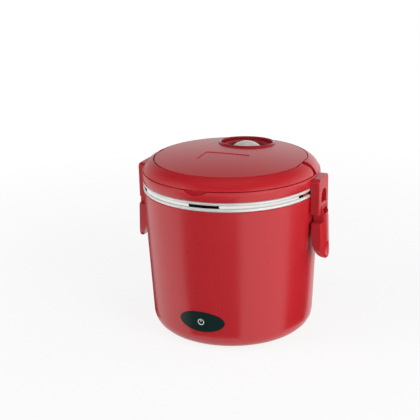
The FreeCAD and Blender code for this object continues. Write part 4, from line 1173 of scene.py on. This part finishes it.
def latch_bracket(name, latch, lid):
    half = latch.width / 2
    back = latch.inner - 8 * MM
    near = 0.1 * MM
    below = latch.low_z - OVERCUT
    block = prism(name, eased((-half, latch.low_z), (half, latch.low_z), (half, latch.top_z, latch.top_round),
                              (-half, latch.top_z, latch.top_round)), "X", back, latch.face)
    edges_eased(block, latch.side_round, 4, lambda at: at.x > latch.face - near and at.z > latch.low_z + near)
    arch = latch.arch_width / 2
    spring = latch.top_z - latch.arch_crown - arch
    crown = half_round(0, spring, arch, 32)
    carved(block, prism("arch", [(-arch, below), (arch, below), *crown], "X", latch.inner + latch.arch_web,
                        latch.face + OVERCUT))
    carved(block, prism("open", [(-arch, below), (arch, below), (arch, latch.pin_z), (-arch, latch.pin_z)],
                        "X",
                        back - OVERCUT, latch.face))
    room = turned("room", [(0, below), (latch.inner, below), (latch.inner, lid.skirt_z),
                           *reversed(band_line(lid)),
                           (0, lid.ledge_z)])
    carved(block, room)
    return softened(block, latch.edge_round)


def latch_lever(name, latch):
    half = latch.width / 2
    low = latch.lever_low_z
    shoulder = latch.pin_z - latch.shoulder_drop
    face = latch.lever_face + latch.flare
    heel_radius = (latch.heel ** 2 + latch.heel_depth ** 2) / (2 * latch.heel_depth)
    heel = bow((latch.inner + latch.heel_depth, low), (latch.inner, low + latch.heel), heel_radius)
    grip = prism(name, [(latch.inner, shoulder), (face + 2 * MM, shoulder), (face + 2 * MM, low), *heel],
                 "Y", -half, half)
    side = latch.arch_width / 2 - latch.tongue_gap
    barrel = half_round(latch.pin_x, latch.pin_z, latch.barrel, 24)
    tongue = prism("tongue", [(latch.inner + 1 * MM, shoulder - 4 * MM), (face, shoulder - 4 * MM),
                              (face, shoulder),
                              *barrel, (latch.pin_x - latch.barrel, latch.tongue_step_z),
                              (latch.inner, latch.tongue_step_z), (latch.inner, shoulder)], "Y", -side, side)
    carved(grip, tongue, "UNION")
    bpy.ops.object.select_all(action="DESELECT")
    slope = latch.flare / (shoulder - low)
    under, over = 4 * MM, 20 * MM
    bpy.ops.mesh.primitive_cone_add(vertices=240, radius1=latch.crown_radius + latch.flare + slope * under,
                                    radius2=latch.crown_radius - slope * over,
                                    depth=shoulder - low + under + over,
                                    location=(latch.lever_face - latch.crown_radius, 0,
                                              (low - under + shoulder + over) / 2))
    bpy.ops.object.transform_apply(location=True, rotation=True, scale=True)
    carved(grip, bpy.context.object, "INTERSECT")
    ends = eased((-half, low, latch.end_round), (half, low, latch.end_round), (half, shoulder + over),
                 (-half, shoulder + over))
    carved(grip, prism("ends", ends, "X", latch.inner - OVERCUT, face + OVERCUT), "INTERSECT")
    dimple_x = face + latch.dimple_radius - latch.dimple_depth
    bpy.ops.object.select_all(action="DESELECT")
    bpy.ops.mesh.primitive_uv_sphere_add(segments=96, ring_count=48, radius=latch.dimple_radius,
                                         location=(dimple_x, 0, low + latch.dimple_rise))
    bpy.ops.object.transform_apply(location=True, rotation=True, scale=True)
    carved(grip, bpy.context.object)
    window_z = latch.pin_z - latch.window_drop - latch.window_height / 2
    carved(grip, prism("window", tray(latch.window_width, latch.window_height, 0, window_z, 0.6 * MM), "X",
                       latch.inner - OVERCUT, face + OVERCUT))
    carved(grip, prism("pocket", tray(latch.pocket_width, latch.pocket_height, 0,
                                      latch.pocket_top_z - latch.pocket_height / 2, 0.4 * MM), "X",
                       latch.inner - OVERCUT, latch.inner + latch.pocket_depth))
    carved(grip, prism("bore", oval(2 * latch.pin_hole, 2 * latch.pin_hole, latch.pin_x, latch.pin_z, 32),
                       "Y",
                       -half, half))
    return softened(grip, latch.edge_round)


class LUNCHBOX_OT_front_and_back(Operator):
    """Indicator lens at the front and power inlet at the back"""
    bl_idname = "lunchbox.front_and_back"
    bl_label = "Lens and inlet"

    def execute(self, context):
        scene = context.scene
        casing = scene.lunchbox_casing
        electrics = scene.lunchbox_electrics
        colours = scene.lunchbox_colours
        reach = casing.rim_radius + 2 * OVERCUT
        half = casing.rim_radius / 2
        lens = prism("lens", oval(electrics.lens_width, electrics.lens_tall, 0, electrics.lens_z, 120),
                     "Y", -reach, -half)
        carved(lens, casing_core(casing, electrics.lens_proud), "INTERSECT")
        carved(lens, casing_core(casing, -electrics.lens_seat))
        softened(lens, 0.3 * MM)
        tint = shared(tinted_lens, "lens_tint", colours.lens, colours.print, electrics.lens_z,
                      electrics.symbol_radius)
        kept(lens, "base", tint, "lens", "indicator_lens")
        margin = 2 * electrics.inlet_flange
        bar = tray(electrics.inlet_width + margin, electrics.inlet_tall + margin, 0, electrics.inlet_z,
                   electrics.inlet_corner + electrics.inlet_flange)
        flange = prism("inlet", bar, "Y", half, reach)
        carved(flange, casing_core(casing, electrics.flange_thickness), "INTERSECT")
        carved(flange, casing_core(casing, 0))
        edges_eased(flange, 0.4 * MM, 2, lambda at: math.hypot(at.x, at.y) > skin_radius(casing,
                                                                                         at.z) + 0.8 * MM)
        body = prism("body", tray(electrics.inlet_width, electrics.inlet_tall, 0, electrics.inlet_z,
                                  electrics.inlet_corner), "Y", electrics.inlet_back_y, reach)
        carved(body, casing_core(casing, electrics.flange_thickness - 0.1 * MM), "INTERSECT")
        carved(flange, body, "UNION")
        mouth = tray(electrics.inlet_width - 2 * electrics.inlet_wall,
                     electrics.inlet_tall - 2 * electrics.inlet_wall,
                     0, electrics.inlet_z, electrics.inlet_corner - electrics.inlet_wall)
        carved(flange, prism("mouth", mouth, "Y", electrics.inlet_back_y + electrics.inlet_floor, reach))
        kept(flange, "base", black_plastic(scene), "black_plastic", "power_inlet")
        return {"FINISHED"}


def skin_radius(casing, height):
    """Radius of the casing's skin at a height, on its straight wall."""
    return casing.rim_radius - casing.taper * (casing.rim_z - height) / (casing.rim_z - casing.base_z)


class LUNCHBOX_OT_fittings(Operator):
    """Finishes of the heater, leads, pins and clips that keep their CAD shapes"""
    bl_idname = "lunchbox.fittings"
    bl_label = "Heater, leads and pins"

    def execute(self, context):
        scene = context.scene
        colours = scene.lunchbox_colours
        zinc = zinc_steel(scene)
        black = black_plastic(scene)
        cast = worked_metal("cast_aluminium", colours.aluminium, 0.42, pitch=1.2 * MM, relief=0.15)
        sheath = worked_metal("element_sheath", tinted(colours.zinc, 0.55), 0.45, pitch=0.8 * MM)
        ceramic = moulded("ceramic", colours.white, 0.55)
        sleeve = moulded("glass_sleeve", tinted(colours.silicone, 0.9), 0.7, relief=0.2)
        finishes = {
            "heating_plate": cast, "heating_element": sheath, "plate_studs": zinc, "plate_nuts": zinc,
            "thermostat": ceramic, "thermostat_screws": zinc, "fuse_clip": ceramic, "lamp_retainer": black,
            "thermal_fuse": worked_metal("fuse_can", colours.steel, 0.25),
            "inlet_blades": worked_metal("blade_brass", colours.brass, 0.22),
            "indicator_lamp": moulded("lamp_amber", colours.amber, 0.15),
            "live_lead": moulded("live_sleeve", colours.live, 0.45),
            "neutral_lead": moulded("neutral_sleeve", colours.neutral, 0.45),
            "earth_lead": striped_sleeve("earth_sleeve", colours.earth, (0.75, 0.62, 0.04, 1.0)),
            "fuse_links": sleeve, "lamp_leads": sleeve, "handle_pins": zinc, "bracket_screws": zinc,
            "latch_pin_right": zinc, "latch_pin_left": zinc, "valve_clip": zinc,
            "valve_washer": milky_silicone(scene),
        }
        for node, material in finishes.items():
            mesh = frame["nodes"][node].data
            mesh.materials.clear()
            mesh.materials.append(material)
        return {"FINISHED"}


class LUNCHBOX_OT_stage(Operator):
    """Pale floor, soft studio light, dark cards for the gloss, and the camera"""
    bl_idname = "lunchbox.stage"
    bl_label = "Stage"

    def execute(self, context):
        scene = context.scene
        stage = scene.lunchbox_stage
        scene.view_settings.view_transform = "Standard"
        spot = Matrix.Rotation(stage.camera_turn, 4, "Z")
        set_camera(scene, stage, spot)
        set_world(scene, spot)
        set_floor(stage)
        set_lamps(spot)
        set_cards(scene, stage, spot)
        return {"FINISHED"}


def set_camera(scene, stage, spot):
    data = bpy.data.cameras.new("camera")
    data.sensor_width = 36.0
    data.lens = stage.lens / MM
    camera = bpy.data.objects.new("camera", data)
    scene.collection.objects.link(camera)
    yaw, pitch, roll = stage.camera_yaw, stage.camera_pitch, stage.camera_roll
    ahead = Vector((math.sin(yaw) * math.cos(pitch), math.cos(yaw) * math.cos(pitch), -math.sin(pitch)))
    level = Vector((math.cos(yaw), -math.sin(yaw), 0))
    upright = level.cross(ahead)
    right = level * math.cos(roll) + upright * math.sin(roll)
    up = upright * math.cos(roll) - level * math.sin(roll)
    facing = Matrix((right, up, -ahead)).transposed().to_4x4()
    facing.translation = (0, -stage.camera_distance, stage.camera_height)
    camera.matrix_world = spot @ facing
    scene.camera = camera


def shown_share(nodes, path):
    """Factor that is 1 for gloss and transmission rays."""
    return nodes.math("MAXIMUM", path["Is Glossy Ray"], path["Is Transmission Ray"])


def set_world(scene, spot):
    """White studio wall, which gloss shows dimmer above and to the left, and which lights the object softly."""
    world = bpy.data.worlds.new("studio")
    scene.world = world
    world.use_nodes = True
    nodes = Nodes(world.node_tree)
    way = nodes.add("ShaderNodeTexCoord").outputs["Generated"]
    aside = nodes.add("ShaderNodeVectorMath", operation="DOT_PRODUCT")
    aside.inputs[1].default_value = spot @ Vector((1, 0, 0))
    nodes.link(way, aside.inputs[0])
    wall = nodes.math("MULTIPLY", nodes.ranged(nodes.apart(way)["Z"], *WALL_HEIGHTS),
                      nodes.ranged(aside.outputs["Value"], *WALL_SIDES))
    path = nodes.add("ShaderNodeLightPath").outputs
    wall = nodes.math("MULTIPLY", wall, nodes.ranged(shown_share(nodes, path), 0.0, 1.0, FILL_SHARE, 1.0))
    background = world.node_tree.nodes["Background"].inputs
    nodes.link(nodes.math("MAXIMUM", wall, path["Is Camera Ray"]), background["Strength"])
    background["Color"].default_value = (1.0, 1.0, 1.0, 1.0)


def set_floor(stage):
    """Pale floor that is nearly white where it is seen and keeps a faint shadow."""
    bpy.ops.object.select_all(action="DESELECT")
    bpy.ops.mesh.primitive_circle_add(vertices=96, radius=FLOOR_RADIUS, fill_type="NGON", location=(0, 0, 0))
    floor = bpy.context.object
    floor.name = "floor"
    finish = Finish("pale_floor")
    finish.shader.inputs["Base Color"].default_value = stage.floor
    finish.shader.inputs["Roughness"].default_value = 1.0
    finish.shader.inputs["Specular IOR Level"].default_value = 0.0
    path = finish.add("ShaderNodeLightPath").outputs
    seen = finish.math("MAXIMUM", shown_share(finish, path), path["Is Camera Ray"])
    share = finish.math("MULTIPLY", seen, finish.ranged(finish.span(finish.place), *FLOOR_GLOW))
    mix = finish.add("ShaderNodeMixShader")
    finish.link(share, mix.inputs[0])
    finish.link(finish.shader.outputs[0], mix.inputs[1])
    finish.link(finish.add("ShaderNodeEmission").outputs[0], mix.inputs[2])
    finish.link(mix.outputs[0], finish.tree.nodes["Material Output"].inputs["Surface"])
    floor.data.materials.append(finish.material)


def set_lamps(spot):
    """Large soft lamps on both sides and above, which gloss doesn't show."""
    for name, place, size, power in LAMPS:
        data = bpy.data.lights.new(name, "AREA")
        data.shape = "DISK"
        data.size = size
        data.energy = power
        lamp = bpy.data.objects.new(name, data)
        lamp.visible_glossy = False
        bpy.context.scene.collection.objects.link(lamp)
        at = spot @ Vector(place)
        lamp.matrix_world = Matrix.Translation(at) @ (AIM - at).to_track_quat("-Z", "Y").to_matrix().to_4x4()


def set_cards(scene, stage, spot):
    """Dark cards flat on the floor that only gloss shows, as black flags between soft boxes."""
    material = bpy.data.materials.new("dark_card")
    material.use_nodes = True
    surface = material.node_tree.nodes["Principled BSDF"]
    surface.inputs["Base Color"].default_value = stage.card
    surface.inputs["Specular IOR Level"].default_value = 0.0
    radius = scene.lunchbox_steel.bead_radius
    for number, (first, last, near, far) in enumerate(CARD_SPANS):
        inner, outer = [], []
        for step in range(CARD_STEPS + 1):
            turn = math.radians(first + (last - first) * step / CARD_STEPS)
            normal = Vector((math.sin(turn), -math.cos(turn), 0))
            start = normal * radius
            to_camera = (Vector((0, -stage.camera_distance, 0)) - start).normalized()
            away = 2 * normal.dot(to_camera) * normal - to_camera
            inner.append(start + near * away)
            outer.append(start + far * away)
        outline = [spot @ (point + Vector((0, 0, CARD_HEIGHT))) for point in inner + outer[::-1]]
        card = drawn("dark_card_%d" % number, outline + outline[:1])
        bpy.ops.mesh.remove_doubles(threshold=WELD)
        bpy.ops.mesh.edge_face_add()
        bpy.ops.object.mode_set(mode="OBJECT")
        card.data.materials.append(material)
        for rays in ("camera", "diffuse", "transmission", "shadow"):
            setattr(card, "visible_" + rays, False)


class LUNCHBOX_PT_sidebar(Panel):
    """Lists the lunch box's pieces in the sidebar"""
    bl_idname = "LUNCHBOX_PT_sidebar"
    bl_label = "Electric lunch box"
    bl_space_type = "VIEW_3D"
    bl_region_type = "UI"
    bl_category = "Lunch box"

    def draw(self, context):
        for step in STEPS:
            self.layout.operator(step.bl_idname)
        for name, group in GROUPS.items():
            box = self.layout.box()
            box.label(text=group.__doc__)
            for key in group.__annotations__:
                box.prop(getattr(context.scene, name), key, text=key.replace("_", " ").capitalize())


GROUPS = {
    "lunchbox_casing": LunchBoxCasing, "lunchbox_steel": LunchBoxSteel, "lunchbox_lid": LunchBoxLid,
    "lunchbox_vent": LunchBoxVent, "lunchbox_latch": LunchBoxLatch, "lunchbox_electrics": LunchBoxElectrics,
    "lunchbox_colours": LunchBoxColours, "lunchbox_stage": LunchBoxStage,
}

STEPS = (
    LUNCHBOX_OT_casing, LUNCHBOX_OT_underside, LUNCHBOX_OT_steel, LUNCHBOX_OT_lid_body, LUNCHBOX_OT_dome,
    LUNCHBOX_OT_vent, LUNCHBOX_OT_handle, LUNCHBOX_OT_lid_inside, LUNCHBOX_OT_latches,
    LUNCHBOX_OT_front_and_back,
    LUNCHBOX_OT_fittings, LUNCHBOX_OT_stage,
)


def register():
    for kind in (*GROUPS.values(), *STEPS, LUNCHBOX_PT_sidebar):
        bpy.utils.register_class(kind)
    for name, group in GROUPS.items():
        setattr(bpy.types.Scene, name, PointerProperty(type=group))


def unregister():
    for name in GROUPS:
        delattr(bpy.types.Scene, name)
    for kind in (LUNCHBOX_PT_sidebar, *reversed(STEPS), *reversed(GROUPS.values())):
        bpy.utils.unregister_class(kind)


def main():
    register()
    bpy.ops.lunchbox.casing()
    bpy.ops.lunchbox.underside()
    bpy.ops.lunchbox.steel()
    bpy.ops.lunchbox.lid_body()
    bpy.ops.lunchbox.dome()
    bpy.ops.lunchbox.vent()
    bpy.ops.lunchbox.handle()
    bpy.ops.lunchbox.lid_inside()
    bpy.ops.lunchbox.latches()
    bpy.ops.lunchbox.front_and_back()
    bpy.ops.lunchbox.fittings()
    bpy.ops.lunchbox.stage()


if __name__ == "__main__":
    main()
